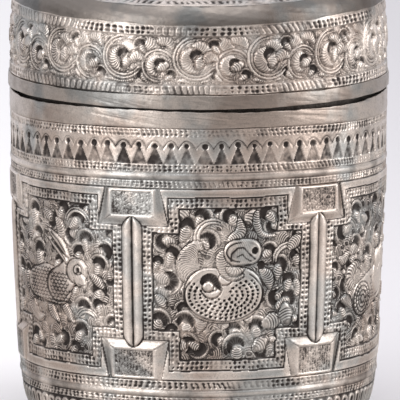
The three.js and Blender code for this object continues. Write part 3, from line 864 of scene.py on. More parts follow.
def arch_band(sheet, low, high, count, seed):
    """Dark granulated triangles, each with a round dot on its tip under a scalloped arch."""
    rows, theta = rows_between(sheet, low, high)
    pitch = 2 * math.pi * sheet.turn_radius / count
    phase = repeats(theta, count, seed, (5, 11, 17, 29), 0.06)
    s = (phase % 1 - 0.5) * pitch
    random = np.random.default_rng(SEED + seed)
    unit = np.floor(phase).astype(int) % count
    tall = random.uniform(0.94, 1.05, count)[unit]
    wide = random.uniform(0.88, 1.03, count)[unit]
    v = (sheet.v[rows] - low) * ARCH_UNIT / (high - low)
    grain = np.clip(0.5 + 3 * (blurred(random.uniform(0, 1, s.shape), 1) - 0.5), 0, 1)
    lift = np.full(s.shape, 0.42)
    patina = 0.08 + 0.2 * grain
    tip = TRIANGLE_HEIGHT * tall
    clear = 0.45 + 0.55 * chance(unit // 2, seed + 6)
    share = 2 * s / pitch
    slope = 2 * ARCH_HEIGHT * share * 2 / pitch
    for height, reach, half, strength in ((1.25, 1.0, 0.2, 1.0), (0.8, 0.72, 0.13, 0.6)):
        off = np.abs(v - tip - 0.3 - height + ARCH_HEIGHT * share ** 2) / np.hypot(1, slope)
        cut = np.clip(1.5 - 1.5 * off / half, 0, 1) * (np.abs(share) < reach) * clear * strength
        lift -= 0.2 * cut
        patina = np.maximum(patina, 0.85 * cut)
    flank = 0.48 * pitch * wide * np.clip(1 - np.clip(v - 0.15, 0, None) / tip, 0, 1) ** 0.92
    pit = (np.abs(s) < flank) & (v > 0.15) & (v < tip)
    lift[pit] = (0.08 + 0.14 * grain)[pit]
    shade = 0.6 + 0.32 * chance(unit, seed + 3)
    patina[pit] = (shade - 0.34 * grain)[pit]
    reach = np.hypot(s, v - tip - 0.3)
    round_size = 0.58 + 0.22 * chance(unit, seed + 8)
    dot = reach < round_size
    lift[dot] = 0.4 - (0.5 * np.sqrt(np.clip(1 - (reach / round_size) ** 2, 0, 1)))[dot]
    patina[dot] = (0.6 + 0.35 * chance(unit, seed + 4))[dot]
    sheet.lift[rows] = lift
    sheet.patina[rows] = patina


def petal_band(sheet, low, high, count):
    """Tall narrow petals with a rolled rim round a dark slot, standing side by side on the foot."""
    rows, theta = rows_between(sheet, low, high)
    v = sheet.v[rows]
    pitch = 2 * math.pi * sheet.turn_radius / count
    phase = repeats(theta, count, 91, (4, 9, 15), 0.12)
    s = (phase % 1 - 0.5) * pitch
    unit = np.floor(phase).astype(int) % count
    radius = 0.47 * pitch
    crown = high - 0.1 - radius - 0.35 * chance(unit, 3)
    inward = radius - np.hypot(s, np.clip(v - crown, 0, None))
    slot_half = radius * (0.2 + 0.28 * np.clip((v - low) / (crown - low), 0, 1))
    slot = slot_half - np.hypot(s, np.clip(v - crown + 0.2, 0, None))
    rim = np.clip(inward / 0.4, 0, 1)
    sunk = np.clip(slot / 0.3, 0, 1) * (v > low + 0.8)
    lift = 0.02 + 0.42 * rim * (2 - rim) - 0.4 * sunk
    patina = 0.62 - 0.4 * rim + (0.5 + 0.25 * chance(unit, 5)) * sunk
    sheet.lift[rows] = lift
    sheet.patina[rows] = np.clip(patina, 0, 1)


def ring_sheet(radius, low, high, step, low_angle=0.0, high_angle=2 * math.pi):
    """A sheet for a stretch of a band. A full ring leaves out the column that would meet the first."""
    if high_angle - low_angle > 2 * math.pi - 1e-6:
        columns = int(round(2 * math.pi * radius / step))
        around = np.linspace(low_angle, high_angle, columns + 1)[:-1] * radius
    else:
        around = edged_axis(low_angle * radius, high_angle * radius, step)
    rows = int(round((high - low) / step)) + 1
    sheet = Sheet(around, np.linspace(low, high, rows))
    sheet.turn_radius = radius
    return sheet


def draw_upper_border(step):
    sheet = ring_sheet(PATTERN_RADIUS, PANEL_HIGH + 0.02, BODY_BAND_LOW_Z - 0.1, step)
    count = bpy.context.scene.betel_sizes.punches
    plain_rows(sheet, 0, SEAM_Z, 0.3, 0.25)
    punch_band(sheet, *UPPER_PUNCHES[0], count, seed=1)
    round_ridge(sheet, *UPPER_RIDGE, 0.52)
    punch_band(sheet, *UPPER_PUNCHES[1], count, seed=2)
    arch_band(sheet, *ARCHES, bpy.context.scene.betel_sizes.arches, seed=3)
    punch_band(sheet, *UPPER_PUNCHES[2], count, seed=4)
    return sheet


def draw_lower_border(step):
    radius = float(body_outline(10.0))
    sheet = ring_sheet(radius, WALL_LOW_Z, PANEL_LOW - 0.02, step)
    count = bpy.context.scene.betel_sizes.lower_punches
    plain_rows(sheet, 0, SEAM_Z, 0.3, 0.3)
    petal_band(sheet, *PETALS, bpy.context.scene.betel_sizes.petals)
    plain_rows(sheet, WALL_LOW_Z, PETALS[0], 0.35, 0.2)
    punch_band(sheet, *LOWER_PUNCHES[0], count, seed=5)
    round_ridge(sheet, *LOWER_RIDGE, 0.56)
    punch_band(sheet, *LOWER_PUNCHES[1], count, seed=6)
    return sheet


def lid_scroll(sheet, u, low, high, seed):
    """One repeat of the lid's scrollwork: a large scroll, a smaller one turned down, and leaves."""
    random = np.random.default_rng(SEED * 31 + seed)
    size = 5.3 + random.uniform(-0.25, 0.25)
    cv = (low + high) / 2 + 0.5 + random.uniform(-0.25, 0.25)
    dark = random.uniform(0.35, 0.85)
    # Leaves behind the scrolls
    plume(sheet, ((u + 4.6, high - 0.9), (u + 7.6, high - 2.6), (u + 8.0, cv - 1.0)), 1.8, 0.4)
    plume(sheet, ((u - 4.6, low + 0.9), (u - 1.0, low + 0.9), (u + 3.4, low + 0.9)), 0.95, 0.5)
    plume(sheet, ((u + 8.4, high - 1.0), (u + 11.0, high - 1.0), (u + 12.6, high - 3.2)), 1.4, 0.4)
    curl(sheet, u + 4.9, low + 2.3, 1.9, 150, 1, dark)
    curl(sheet, u + 12.0, low + 2.0, 1.7, 60, 1, random.uniform(0.4, 0.9))
    # The smaller scroll
    small = 3.9
    su, sv = u + 9.0, low + 4.5
    sheet.leaf(arc(su, sv, small, 20, 260, points=30), 0.36 * swell(30, 0.5, 0.4), 0.42)
    sheet.leaf(arc(su, sv, small * 0.83, 30, 240), 0.28 * swell(22, 0.5, 0.4), 0.34)
    plume(sheet, arc(su, sv, small * 0.5, 60, 230, points=5), 1.35, 0.5)
    sheet.hollow(arc(su + 0.4, sv + 0.2, small * 0.3, 20, 170), 0.7 * swell(22, 0.5, 0.6), 0.3, dark, HATCH)
    sheet.ball(su + 0.9, sv - 0.2, 1.35, 0.5, HATCH, 30)
    # The large scroll
    sheet.leaf(arc(u, cv, size * 0.97, 75, 250, points=34), 0.36 * swell(34, 0.5, 0.4), 0.38)
    sheet.leaf(arc(u, cv, size * 0.83, 85, 235, points=34), 0.28 * swell(34, 0.5, 0.4), 0.3)
    plume(sheet, arc(u, cv, size * 0.6, 110, -140, points=5), 1.4, 0.5)
    plume(sheet, arc(u, cv, size * 0.48, 110, 210, points=5), 1.5, 0.5)
    sheet.hollow(arc(u + 0.2, cv + 0.3, size * 0.22, 20, 190), 0.75 * swell(22, 0.5, 0.6), 0.3, dark, HATCH)
    sheet.ball(u + 0.9, cv - 0.9, 1.5, 0.55, HATCH, 70)
    plume(sheet, ((u + 1.6, cv - 0.8), (u + 3.6, cv + 0.4), (u + 5.4, cv - 0.6)), 1.4, 0.45)
    curl(sheet, u + 4.4, cv + 2.9, 1.9, 100, -1, random.uniform(0.5, 0.95))


def draw_lid_band(step, low_angle, high_angle):
    sheet = ring_sheet(LID_RADIUS - 0.4, LID_LOW_Z, LID_WALL_TOP_Z, step, low_angle, high_angle)
    settings = bpy.context.scene.betel_sizes
    pitch = 2 * math.pi * sheet.turn_radius / settings.scrolls
    low, high = SCROLLS
    sheet.edge = 0.55
    ground(sheet, 40, 2.1, 0.0)
    first = int(math.floor((sheet.u_axis[0] - FIRST_SCROLL) / pitch)) - 1
    last = int(math.ceil((sheet.u_axis[-1] - FIRST_SCROLL) / pitch)) + 1
    for number in range(first, last):
        lid_scroll(sheet, FIRST_SCROLL + number * pitch, low, high, number % settings.scrolls)
    sheet.score *= 0.75
    sheet.lift += 0.18 * np.sin(math.pi * np.clip((sheet.v - low) / (high - low), 0, 1)) ** 0.5
    for edge_low, edge_high in ((high, high + 0.25), (low - 0.25, low)):
        plain_rows(sheet, edge_low, edge_high, 0.15, 0.38)
    plain_rows(sheet, LID_LOW_Z - 1, LID_BAND_TOP_Z + 0.3, 0.15, 0.38)
    punch_band(sheet, LID_BAND_TOP_Z + 0.2, low - 0.3, settings.lid_punches, 0.5, True, 7)
    punch_band(sheet, high + 0.3, LID_BEADS_TOP_Z, settings.lid_punches, 0.5, True, 8)
    plain_rows(sheet, LID_BEADS_TOP_Z, LID_WALL_TOP_Z + 1, 0.35, 0.3)
    return sheet


# Making meshes

def store_finish(mesh, layers, profile_rows):
    """Point attributes for the finish; the inner face gets a dark value as painted shade."""
    for name, (values, inner) in layers.items():
        rows, columns = values.shape
        full = np.full((columns, profile_rows), inner, np.float32)
        full[:, :rows] = values.T
        mesh.attributes.new(name, "FLOAT", "POINT").data.foreach_set("value", full.ravel())


def shell(name, sheet, theta, place, inner_profile, closed):
    """A closed wall: the sheet outside, a plain wall inside, and flat edges between them.

    place(v, lift) gives the radius and height of the outer face, and inner_profile the radius and
    height of the inner one, from the top down.
    """
    step = sheet.v_axis[1] - sheet.v_axis[0]
    around = blurred(sheet.lift, max(2, int(round(RUB_REACH / step))))
    cavity = np.clip((around - sheet.lift) / CAVITY_DEPTH, 0, 1)
    rub = np.clip((sheet.lift - around) / RUB_HEIGHT, 0, 1)
    patina = np.clip(sheet.patina + 0.25 * cavity, 0, 1)
    patina = 0.75 * patina + 0.25 * blurred(patina, 1)
    radius, height = place(sheet.v, sheet.lift, theta[None, :])
    rows, columns = sheet.lift.shape
    profile_rows = rows + len(inner_profile)
    radii = np.empty((columns, profile_rows))
    heights = np.empty((columns, profile_rows))
    radii[:, :rows], heights[:, :rows] = radius.T, height.T
    radii[:, rows:], heights[:, rows:] = inner_profile[:, 0], inner_profile[:, 1]
    points = np.stack((radii * np.sin(theta)[:, None], -radii * np.cos(theta)[:, None], heights), -1) * MM
    mesh = mesh_of_profiles(name, points, rows, closed)
    store_finish(mesh, {"patina": (patina, INNER_PAINTED_SHADE), "rub": (rub, 0.0),
                        "hatch": (sheet.hatch, 0.0), "score": (sheet.score, 0.0)}, profile_rows)
    return add_object(name, mesh)


def mesh_of_profiles(name, points, outer_rows, closed):
    """Quads between neighbouring closed profiles, with a cap on the first and last unless they meet.

    The caps are flat, and so are the edges between the outer rows and the inner ones.
    """
    columns, profile_rows = points.shape[:2]
    column = np.arange(columns if closed else columns - 1)[:, None]
    row = np.arange(profile_rows)[None, :]
    here, there = column * profile_rows, ((column + 1) % columns) * profile_rows
    above = (row + 1) % profile_rows
    quads = np.stack((here + row, there + row, there + above, here + above), -1).reshape(-1, 4)
    flat = np.broadcast_to((row == outer_rows - 1) | (row == profile_rows - 1),
                           (len(column), profile_rows)).ravel()
    loops = [quads.ravel()]
    starts = np.arange(len(quads)) * 4
    if not closed:
        last = (columns - 1) * profile_rows
        loops += [np.arange(profile_rows), last + np.arange(profile_rows)[::-1]]
        starts = np.concatenate((starts, [quads.size, quads.size + profile_rows]))
        flat = np.concatenate((flat, [True, True]))
    loops = np.concatenate(loops)
    mesh = bpy.data.meshes.new(name)
    mesh.vertices.add(points.size // 3)
    mesh.vertices.foreach_set("co", points.astype(np.float32).ravel())
    mesh.loops.add(len(loops))
    mesh.loops.foreach_set("vertex_index", loops.astype(np.int32))
    mesh.polygons.add(len(starts))
    mesh.polygons.foreach_set("loop_start", starts.astype(np.int32))
    mesh.update(calc_edges=True)
    mesh.validate()
    mesh.polygons.foreach_set("use_smooth", ~flat)
    return mesh


def add_object(name, data):
    thing = bpy.data.objects.new(name, data)
    bpy.context.scene.collection.objects.link(thing)
    return thing


def hand_over(piece, body, slot, node_name, finish=None):
    """Give a piece its body and finish (the slot's when no finish is named), and hide the solid that it
    stands for.
    """
    piece.data.materials.clear()
    piece.data.materials.append(bpy.data.materials["aged_" + (finish or slot)])
    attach(piece, body)
    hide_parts(node_name)


def deselect_all():
    if bpy.context.object and bpy.context.object.mode != "OBJECT":
        bpy.ops.object.mode_set(mode="OBJECT")
    for thing in bpy.context.scene.objects:
        thing.select_set(False)
    bpy.context.view_layer.objects.active = None


def spun(name, profile, sides=RING_SIDES, closed=True):
    """A profile of (radius, height) points spun once round the box's axis with the spin operator."""
    deselect_all()
    mesh = bpy.data.meshes.new(name)
    points = [(radius * MM, 0.0, height * MM) for radius, height in profile]
    edges = [(i, i + 1) for i in range(len(points) - 1)]
    if closed:
        edges.append((len(points) - 1, 0))
    mesh.from_pydata(points, edges, [])
    piece = add_object(name, mesh)
    bpy.context.view_layer.objects.active = piece
    piece.select_set(True)
    bpy.ops.object.mode_set(mode="EDIT")
    bpy.ops.mesh.select_all(action="SELECT")
    bpy.ops.mesh.spin(steps=sides, angle=2 * math.pi, center=(0, 0, 0), axis=(0, 0, 1))
    bpy.ops.mesh.select_all(action="SELECT")
    bpy.ops.mesh.remove_doubles(threshold=1e-6)
    bpy.ops.mesh.normals_make_consistent(inside=False)
    bpy.ops.object.mode_set(mode="OBJECT")
    return piece


def smooth_by_angle(piece, degrees=35):
    deselect_all()
    piece.select_set(True)
    bpy.context.view_layer.objects.active = piece
    bpy.ops.object.shade_smooth_by_angle(angle=math.radians(degrees))


def rounded_profile(corners, radius):
    """A closed outline of (radius, height) corners with every corner rounded in three steps."""
    corners = np.asarray(corners, float)
    points = []
    for index, corner in enumerate(corners):
        before = corners[index - 1] - corner
        after = corners[(index + 1) % len(corners)] - corner
        reach = min(radius, 0.45 * np.linalg.norm(before), 0.45 * np.linalg.norm(after))
        start = corner + before / np.linalg.norm(before) * reach
        end = corner + after / np.linalg.norm(after) * reach
        for share in np.linspace(0, 1, 4):
            points.append((1 - share) ** 2 * start + 2 * share * (1 - share) * corner + share ** 2 * end)
    return [tuple(point) for point in points]


def hammer(piece, seed, size, high_edge, low_edge, shift=None):
    """Small swells of a hand-beaten band, edges that wander up and down, and a bend of the whole band."""
    co = np.empty(len(piece.data.vertices) * 3, np.float32)
    piece.data.vertices.foreach_get("co", co)
    co = co.reshape(-1, 3) / MM
    theta = np.arctan2(co[:, 0], -co[:, 1])
    middle = (co[:, 2].max() + co[:, 2].min()) / 2
    share = (co[:, 2] - middle) / (co[:, 2].max() - middle)
    radius = np.hypot(co[:, 0], co[:, 1])
    radius = radius - np.abs(wander(theta + 0.35 * share, seed, (7, 11, 17, 23, 31, 41), size / MM))
    co[:, 0], co[:, 1] = radius * np.sin(theta), -radius * np.cos(theta)
    co[:, 2] += np.clip(share, 0, 1) ** 3 * high_edge(theta) + np.clip(-share, 0, 1) ** 3 * low_edge(theta)
    if shift:
        co[:, 2] += shift(theta)
    piece.data.vertices.foreach_set("co", (co * MM).astype(np.float32).ravel())
    piece.data.update()


def edge_line(seed, size, lift=0.0):
    """An edge that wanders up and down by about size, in millimetres."""
    return lambda theta: lift + wander(theta, seed, (3, 5, 9, 14, 22, 34), size)


# Materials

def node(tree, kind, **values):
    made = tree.nodes.new(kind)
    for key, value in values.items():
        if key in made.inputs:
            made.inputs[key].default_value = value
        else:
            setattr(made, key, value)
    return made


def mix_colour(tree, factor, first, second):
    made = tree.nodes.new("ShaderNodeMix")
    made.data_type = "RGBA"
    for socket, value in ((made.inputs[0], factor), (made.inputs[6], first), (made.inputs[7], second)):
        if isinstance(value, bpy.types.NodeSocket):
            tree.links.new(value, socket)
        elif isinstance(value, (int, float)):
            socket.default_value = value
        else:
            socket.default_value = (*value, 1.0)
    return made.outputs[2]


def ramp(tree, source, low, high, low_value=0.0, high_value=1.0):
    made = node(tree, "ShaderNodeMapRange")
    made.interpolation_type = "SMOOTHSTEP"
    tree.links.new(source, made.inputs["Value"])
    for name, value in (("From Min", low), ("From Max", high), ("To Min", low_value), ("To Max", high_value)):
        made.inputs[name].default_value = value
    return made.outputs["Result"]


def noise(tree, coordinates, name):
    scale, detail, roughness, offset = NOISES[name]
    mapping = node(tree, "ShaderNodeMapping")
    mapping.inputs["Location"].default_value = offset
    tree.links.new(coordinates, mapping.inputs["Vector"])
    made = node(tree, "ShaderNodeTexNoise", Scale=scale, Detail=detail, Roughness=roughness)
    tree.links.new(mapping.outputs["Vector"], made.inputs["Vector"])
    return made.outputs["Fac"]


def tarnished(tree, coordinates, base, blue, brown):
    """Silver with soft bluish and brownish patches."""
    patches = noise(tree, coordinates, "blue")
    colour = mix_colour(tree, ramp(tree, patches, 0.47, 0.58, 0, 0.85), base, blue)
    patches = noise(tree, coordinates, "brown")
    return mix_colour(tree, ramp(tree, patches, 0.5, 0.62, 0, 0.8), colour, brown)


def silver_material(name, chased, roughness, tone, grime_share):
    """Aged silver. Chased silver reads the finish that was stored with its relief."""
    finish = bpy.context.scene.betel_finish
    finished = bpy.data.materials.new("aged_" + name)
    finished.use_nodes = True
    tree = finished.node_tree
    tree.nodes.clear()
    output = node(tree, "ShaderNodeOutputMaterial")
    shader = node(tree, "ShaderNodeBsdfPrincipled", Metallic=1.0)
    tree.links.new(shader.outputs["BSDF"], output.inputs["Surface"])
    coordinates = node(tree, "ShaderNodeTexCoord").outputs["Object"]
    colour = tarnished(tree, coordinates, *(tuple(tone * channel for channel in tint) for tint in (
        finish.silver, finish.blue_tarnish, finish.brown_tarnish)))
    fine, grime, beaten, grain = (noise(tree, coordinates, patch)
                                  for patch in ("fine", "grime", "beaten", "grain"))
    colour = mix_colour(tree, ramp(tree, grain, 0.42, 0.72, 0, 0.4), colour, GRAIN_COLOUR)
    normal = bump(tree, fine, 0.6, 0.06 * MM)
    normal = bump(tree, beaten, 0.3, 0.2 * MM, normal)
    if chased:
        patina, rub, hatch, score = (node(tree, "ShaderNodeAttribute", attribute_name=layer).outputs["Fac"]
                                     for layer in ("patina", "rub", "hatch", "score"))
        wave = math_node(tree, "SINE", math_node(tree, "MULTIPLY", hatch, 2 * math.pi))
        cut = math_node(tree, "MULTIPLY", ramp(tree, wave, -0.5, 0.6), score)
        colour = mix_colour(tree, ramp(tree, rub, 0.1, 0.9, 0, 0.7), colour, finish.rubbed)
        soil = noise(tree, coordinates, "soil")
        dark = math_node(tree, "MULTIPLY_ADD", grime, 0.45, patina)
        dark = math_node(tree, "ADD", dark, ramp(tree, soil, 0.38, 0.62, -0.14, 0.18))
        dark = math_node(tree, "MULTIPLY_ADD", cut, 0.6, dark)
        colour = mix_colour(tree, ramp(tree, dark, 0.34, 1.12), colour, finish.patina)
        rough = ramp(tree, dark, 0.3, 1.2, roughness, DULLEST)
        normal = bump(tree, cut, 0.6, -0.12 * MM, normal)
    else:
        colour = mix_colour(tree, ramp(tree, grime, 0.48, 0.75, 0, grime_share), colour, GRIME_COLOUR)
        rough = ramp(tree, grime, 0.35, 0.7, roughness, roughness + 0.14)
    tree.links.new(colour, shader.inputs["Base Color"])
    tree.links.new(rough, shader.inputs["Roughness"])
    tree.links.new(normal, shader.inputs["Normal"])


def math_node(tree, operation, *values):
    made = node(tree, "ShaderNodeMath", operation=operation)
    for socket, value in zip(made.inputs, values):
        if isinstance(value, bpy.types.NodeSocket):
            tree.links.new(value, socket)
        else:
            socket.default_value = value
    return made.outputs[0]


def bump(tree, height, strength, distance, normal=None):
    made = node(tree, "ShaderNodeBump", Strength=strength, Distance=distance)
    tree.links.new(height, made.inputs["Height"])
    if normal:
        tree.links.new(normal, made.inputs["Normal"])
    return made.outputs["Normal"]


# Operators

class BETELBOX_OT_finishes(bpy.types.Operator):
    """Make the silver's finishes"""
    bl_idname = "betelbox.finishes"
    bl_label = "Silver finishes"

    def execute(self, context):
        for name, values in FINISHES.items():
            silver_material(name, *values)
        return {"FINISHED"}


class BETELBOX_OT_panels(bpy.types.Operator):
    """Chase the six figure panels of the body"""
    bl_idname = "betelbox.panels"
    bl_label = "Figure panels"

    def execute(self, context):
        step = context.scene.betel_sizes.grid_step / MM
        inner = wall_inner(body_outline, PANEL_LOW, PANEL_HIGH, 5)
        for number in range(PANELS):
            sheet = draw_panel(number, step)
            theta = number * 2 * math.pi / PANELS + sheet.u_axis / PATTERN_RADIUS
            piece = shell(f"body_panel_{number + 1}", sheet, theta, on_body, inner, False)
            hand_over(piece, "body", "chased_silver", "body_wall")
        return {"FINISHED"}


def body_sag(v, theta):
    """How far the body's hand-laid bands hang below level."""
    side = np.sin(theta - FRONT) ** 2
    share = 0.5 + 0.5 * np.clip((v - 60) / 8, 0, 1)
    share = share * np.clip((SEAM_Z - v) / (SEAM_Z - BODY_BAND_LOW_Z), 0, 1) * np.clip((v - 4) / 8, 0, 1)
    return share * (FRONT_SAG + SIDE_SAG * side ** 2 * (3 - 2 * side))


def on_body(v, lift, theta):
    return body_outline(v) - BODY_GROUND_DEPTH + lift, v - body_sag(v, theta)


def lid_shift(v, theta):
    """How far the lid's bands lie above or below their mean height."""
    share = np.clip((v - LID_BAND_TOP_Z) / (LID_WALL_TOP_Z - LID_BAND_TOP_Z), 0, 1)
    return LID_WARP * share * (np.sin(theta - FRONT) ** 2 - 0.5)


def on_lid(v, lift, theta):
    return lid_outline(v) - LID_GROUND_DEPTH + lift, v + lid_shift(v, theta)


def wall_inner(outline, low, high, rows):
    heights = np.linspace(high, low, rows)
    return np.column_stack((outline(heights) - WALL_INNER_DEPTH, heights))


class BETELBOX_OT_borders(bpy.types.Operator):
    """Chase the bands above and below the panels"""
    bl_idname = "betelbox.borders"
    bl_label = "Body borders"

    def execute(self, context):
        step = context.scene.betel_sizes.grid_step / MM
        for name, draw in (("body_upper_border", draw_upper_border),
                           ("body_lower_border", draw_lower_border)):
            sheet = draw(step * COARSER[name])
            theta = sheet.u_axis / sheet.turn_radius
            inner = wall_inner(body_outline, sheet.v_axis[0], sheet.v_axis[-1], 7)
            piece = shell(name, sheet, theta, on_body, inner, True)
            hand_over(piece, "body", "chased_silver", "body_wall")
        low, high = BODY_BAND_LOW_Z - 0.08, SEAM_Z - 1.9
        outer, inner = BODY_RADIUS - NECK_DEPTH, BODY_RADIUS - WALL_INNER_DEPTH
        corners = ((outer, low), (outer, high), (inner, high), (inner, low))
        neck = spun("body_neck", rounded_profile(corners, 0.15), NECK_SIDES)
        smooth_by_angle(neck)
        # The neck behind the rim band is near black as painted shade
        hand_over(neck, "body", "plain_silver", "body_wall", "black_silver")
        return {"FINISHED"}


class BETELBOX_OT_body_rings(bpy.types.Operator):
    """Model the body's plain rim band, mouth collar, base and foot"""
    bl_idname = "betelbox.body_rings"
    bl_label = "Body rings"

    def execute(self, context):
        settings = context.scene.betel_sizes
        outer = BODY_RADIUS - CLEARANCE
        low = BODY_BAND_LOW_Z
        corners = ((outer, low), (outer, low + 0.7), (outer, low + 1.6), (outer, SEAM_Z - 1.4),
                   (outer, SEAM_Z - 0.5), (outer - 0.1, SEAM_Z), (outer - 0.55, SEAM_Z), (outer - 0.55, low))
        band = spun("body_rim_strip", rounded_profile(corners, 0.22), BAND_SIDES)
        uneven = edge_line(13, 0.06)
        hammer(band, 11, settings.hammer, mouth_edge, lambda theta: uneven(theta) - body_sag(low, theta))
        smooth_by_angle(band)
        hand_over(band, "body", "worn_silver", "body_rim_band")
        collar = ring_for("inner_collar", "mouth_collar")
        # The collar that shows in the seam's gap is near black as painted shade
        hand_over(collar, "body", "plain_silver", "mouth_collar", "black_silver")
        foot = ring_for("foot", "foot_ring")
        hand_over(foot, "body", "chased_silver", "foot_ring", "plain_silver")
        base = disc_for("base_plate", "base_disc")
        hand_over(base, "body", "plain_silver", "base_disc")
        return {"FINISHED"}


def mouth_edge(theta):
    """How far the top edge of the body's rim band lies above or below its mean height."""
    edge = wander(theta, 12, (9, 17, 26, 37, 61, 83), 0.1) - 0.15
    for place, width, rise in MOUTH_SWELLS:
        away = np.angle(np.exp(1j * (theta - FRONT - place)))
        edge = edge + rise * np.exp(-(away / width) ** 2)
    return edge


def ring_for(name, node_name):
    """A plain ring with eased edges in the place of a node's."""
    outer, low, top = radius_of(node_name) - CLEARANCE, low_of(node_name), top_of(node_name)
    thickness = RING_THICKNESS[node_name]
    inner, middle = outer - thickness, (low + top) / 2
    corners = ((outer, low), (outer, middle), (outer, top), (inner, top), (inner, middle), (inner, low))
    piece = spun(name, rounded_profile(corners, 0.3 * thickness))
    smooth_by_angle(piece)
    return piece


def disc_for(name, node_name):
    """A plate with an eased edge and faint turned rings, closed at its middle."""
    outer, low, top = radius_of(node_name) - CLEARANCE, low_of(node_name), top_of(node_name)
    profile = [(0.0, low), (outer * 0.5, low), (outer - 0.2, low), (outer, low + 0.2), (outer, top - 0.25)]
    for radius in np.linspace(outer - 0.25, 1.0, 26):
        profile.append((radius, top - 0.03 * (1 + math.cos(radius * 1.9))))
    profile.append((0.0, top - 0.02))
    piece = spun(name, profile, DISC_SIDES, closed=False)
    smooth_by_angle(piece)
    return piece


class BETELBOX_OT_lid_band(bpy.types.Operator):
    """Chase the lid's scroll band with its two bead rows"""
    bl_idname = "betelbox.lid_band"
    bl_label = "Lid scroll band"

    def execute(self, context):
        step = context.scene.betel_sizes.grid_step / MM * COARSER["lid_band"]
        inner = wall_inner(lid_outline, LID_LOW_Z, LID_WALL_TOP_Z, 5)
        for number in range(2):
            low_angle, high_angle = (number - 0.5) * math.pi, (number + 0.5) * math.pi
            sheet = draw_lid_band(step, low_angle, high_angle)
            theta = sheet.u_axis / sheet.turn_radius
            piece = shell(f"lid_band_{number + 1}", sheet, theta, on_lid, inner, False)
            hand_over(piece, "lid", "chased_silver", "lid_wall")
        return {"FINISHED"}


class BETELBOX_OT_lid_rings(bpy.types.Operator):
    """Model the lid's plain rim band and its rounded shoulder"""
    bl_idname = "betelbox.lid_rings"
    bl_label = "Lid rings"

    def execute(self, context):
        settings = context.scene.betel_sizes
        wave = settings.edge_wave / MM
        outer, low, top = LID_RADIUS, LID_LOW_Z, LID_BAND_TOP_Z
        corners = ((outer, low), (outer, low + 1.0), (outer, low + 2.0), (outer - 0.05, top),
                   (outer - 0.5, top), (outer - 0.5, low))
        band = spun("lid_rim_strip", rounded_profile(corners, 0.2), BAND_SIDES)
        hammer(band, 21, settings.hammer, edge_line(22, wave * 0.6), edge_line(23, wave * 0.4))
        smooth_by_angle(band)
        hand_over(band, "lid", "worn_silver", "lid_rim_band", "lid_silver")
        low = SHOULDER_LOW_Z - SHOULDER_OVERLAP
        outside = [(SHOULDER_RADIUS - SHOULDER_ROUND * share ** SHOULDER_POWER,
                    low + (SHOULDER_TOP_Z - low) * share) for share in np.linspace(0, 1, 12)]
        inside = [(radius - SHOULDER_THICKNESS, z - 0.4) for radius, z in reversed(outside[1:-1])]
        lip = [(SHOULDER_LIP_RADIUS + 0.05, SHOULDER_TOP_Z - 0.05),
               (SHOULDER_LIP_RADIUS, SHOULDER_TOP_Z - 0.9)]
        foot = [(SHOULDER_FOOT_RADIUS, SHOULDER_LOW_Z - 0.5)]
        shoulder = spun("lid_shoulder", outside + lip + inside + foot, BAND_SIDES)
        hammer(shoulder, 31, settings.hammer * 2, edge_line(32, wave * 0.5), edge_line(33, wave, 0.1),
               lambda theta: lid_shift(LID_WALL_TOP_Z, theta))
        smooth_by_angle(shoulder, 50)
        # The shoulder gets the darker copy of the silver, partly tarnish and partly painted shade
        hand_over(shoulder, "lid", "worn_silver", "lid_shoulder_moulding", "shoulder_silver")
        return {"FINISHED"}


class BETELBOX_OT_lid_top(bpy.types.Operator):
    """Chase the domed top of the lid"""
    bl_idname = "betelbox.lid_top"
    bl_label = "Lid top"

    def execute(self, context):
        step = context.scene.betel_sizes.grid_step / MM
        for name, draw in (("lid_top_ring", draw_top_ring), ("lid_top_middle", draw_top_middle)):
            make_top_piece(name, draw(step * COARSER[name]))
        return {"FINISHED"}


def draw_top_ring(step):
    """Punch row, arches and ridge, and a ring of curls that is drawn at its mean radius."""
    edge = LID_TOP_RADIUS - 0.03
    sheet = ring_sheet(edge, TOP_SPLIT, edge, step)
    plain_rows(sheet, 0, edge + 1, 0.2, 0.3)
    punch_band(sheet, *TOP_PUNCHES, 150, 0.4, seed=51)
    arch_band(sheet, *TOP_ARCHES, 66, seed=53)
    round_ridge(sheet, *TOP_RIDGE, 0.5)
    mean_radius, count = 26.0, 12
    scrolls = Sheet(sheet.u_axis / edge * mean_radius, sheet.v_axis)
    ground(scrolls, 60, 2.3)
    pitch = 2 * math.pi * mean_radius / count
    for number in range(count + 1):
        u = number * pitch
        curl(scrolls, u, 26.6, 3.4, 100, 1)
        curl(scrolls, u + pitch / 2, 24.6, 3.2, 260, -1)
        plume(scrolls, ((u + 2.0, 29.0), (u + 5.0, 29.4), (u + 8.0, 28.2)), 1.2)
        plume(scrolls, ((u - 2.6, 22.2), (u, 21.6), (u + 2.6, 22.4)), 1.1)
    rows, _ = rows_between(sheet, *TOP_SCROLLS)
    for layer in LAYERS:
        getattr(sheet, layer)[rows] = getattr(scrolls, layer)[rows]
    return sheet


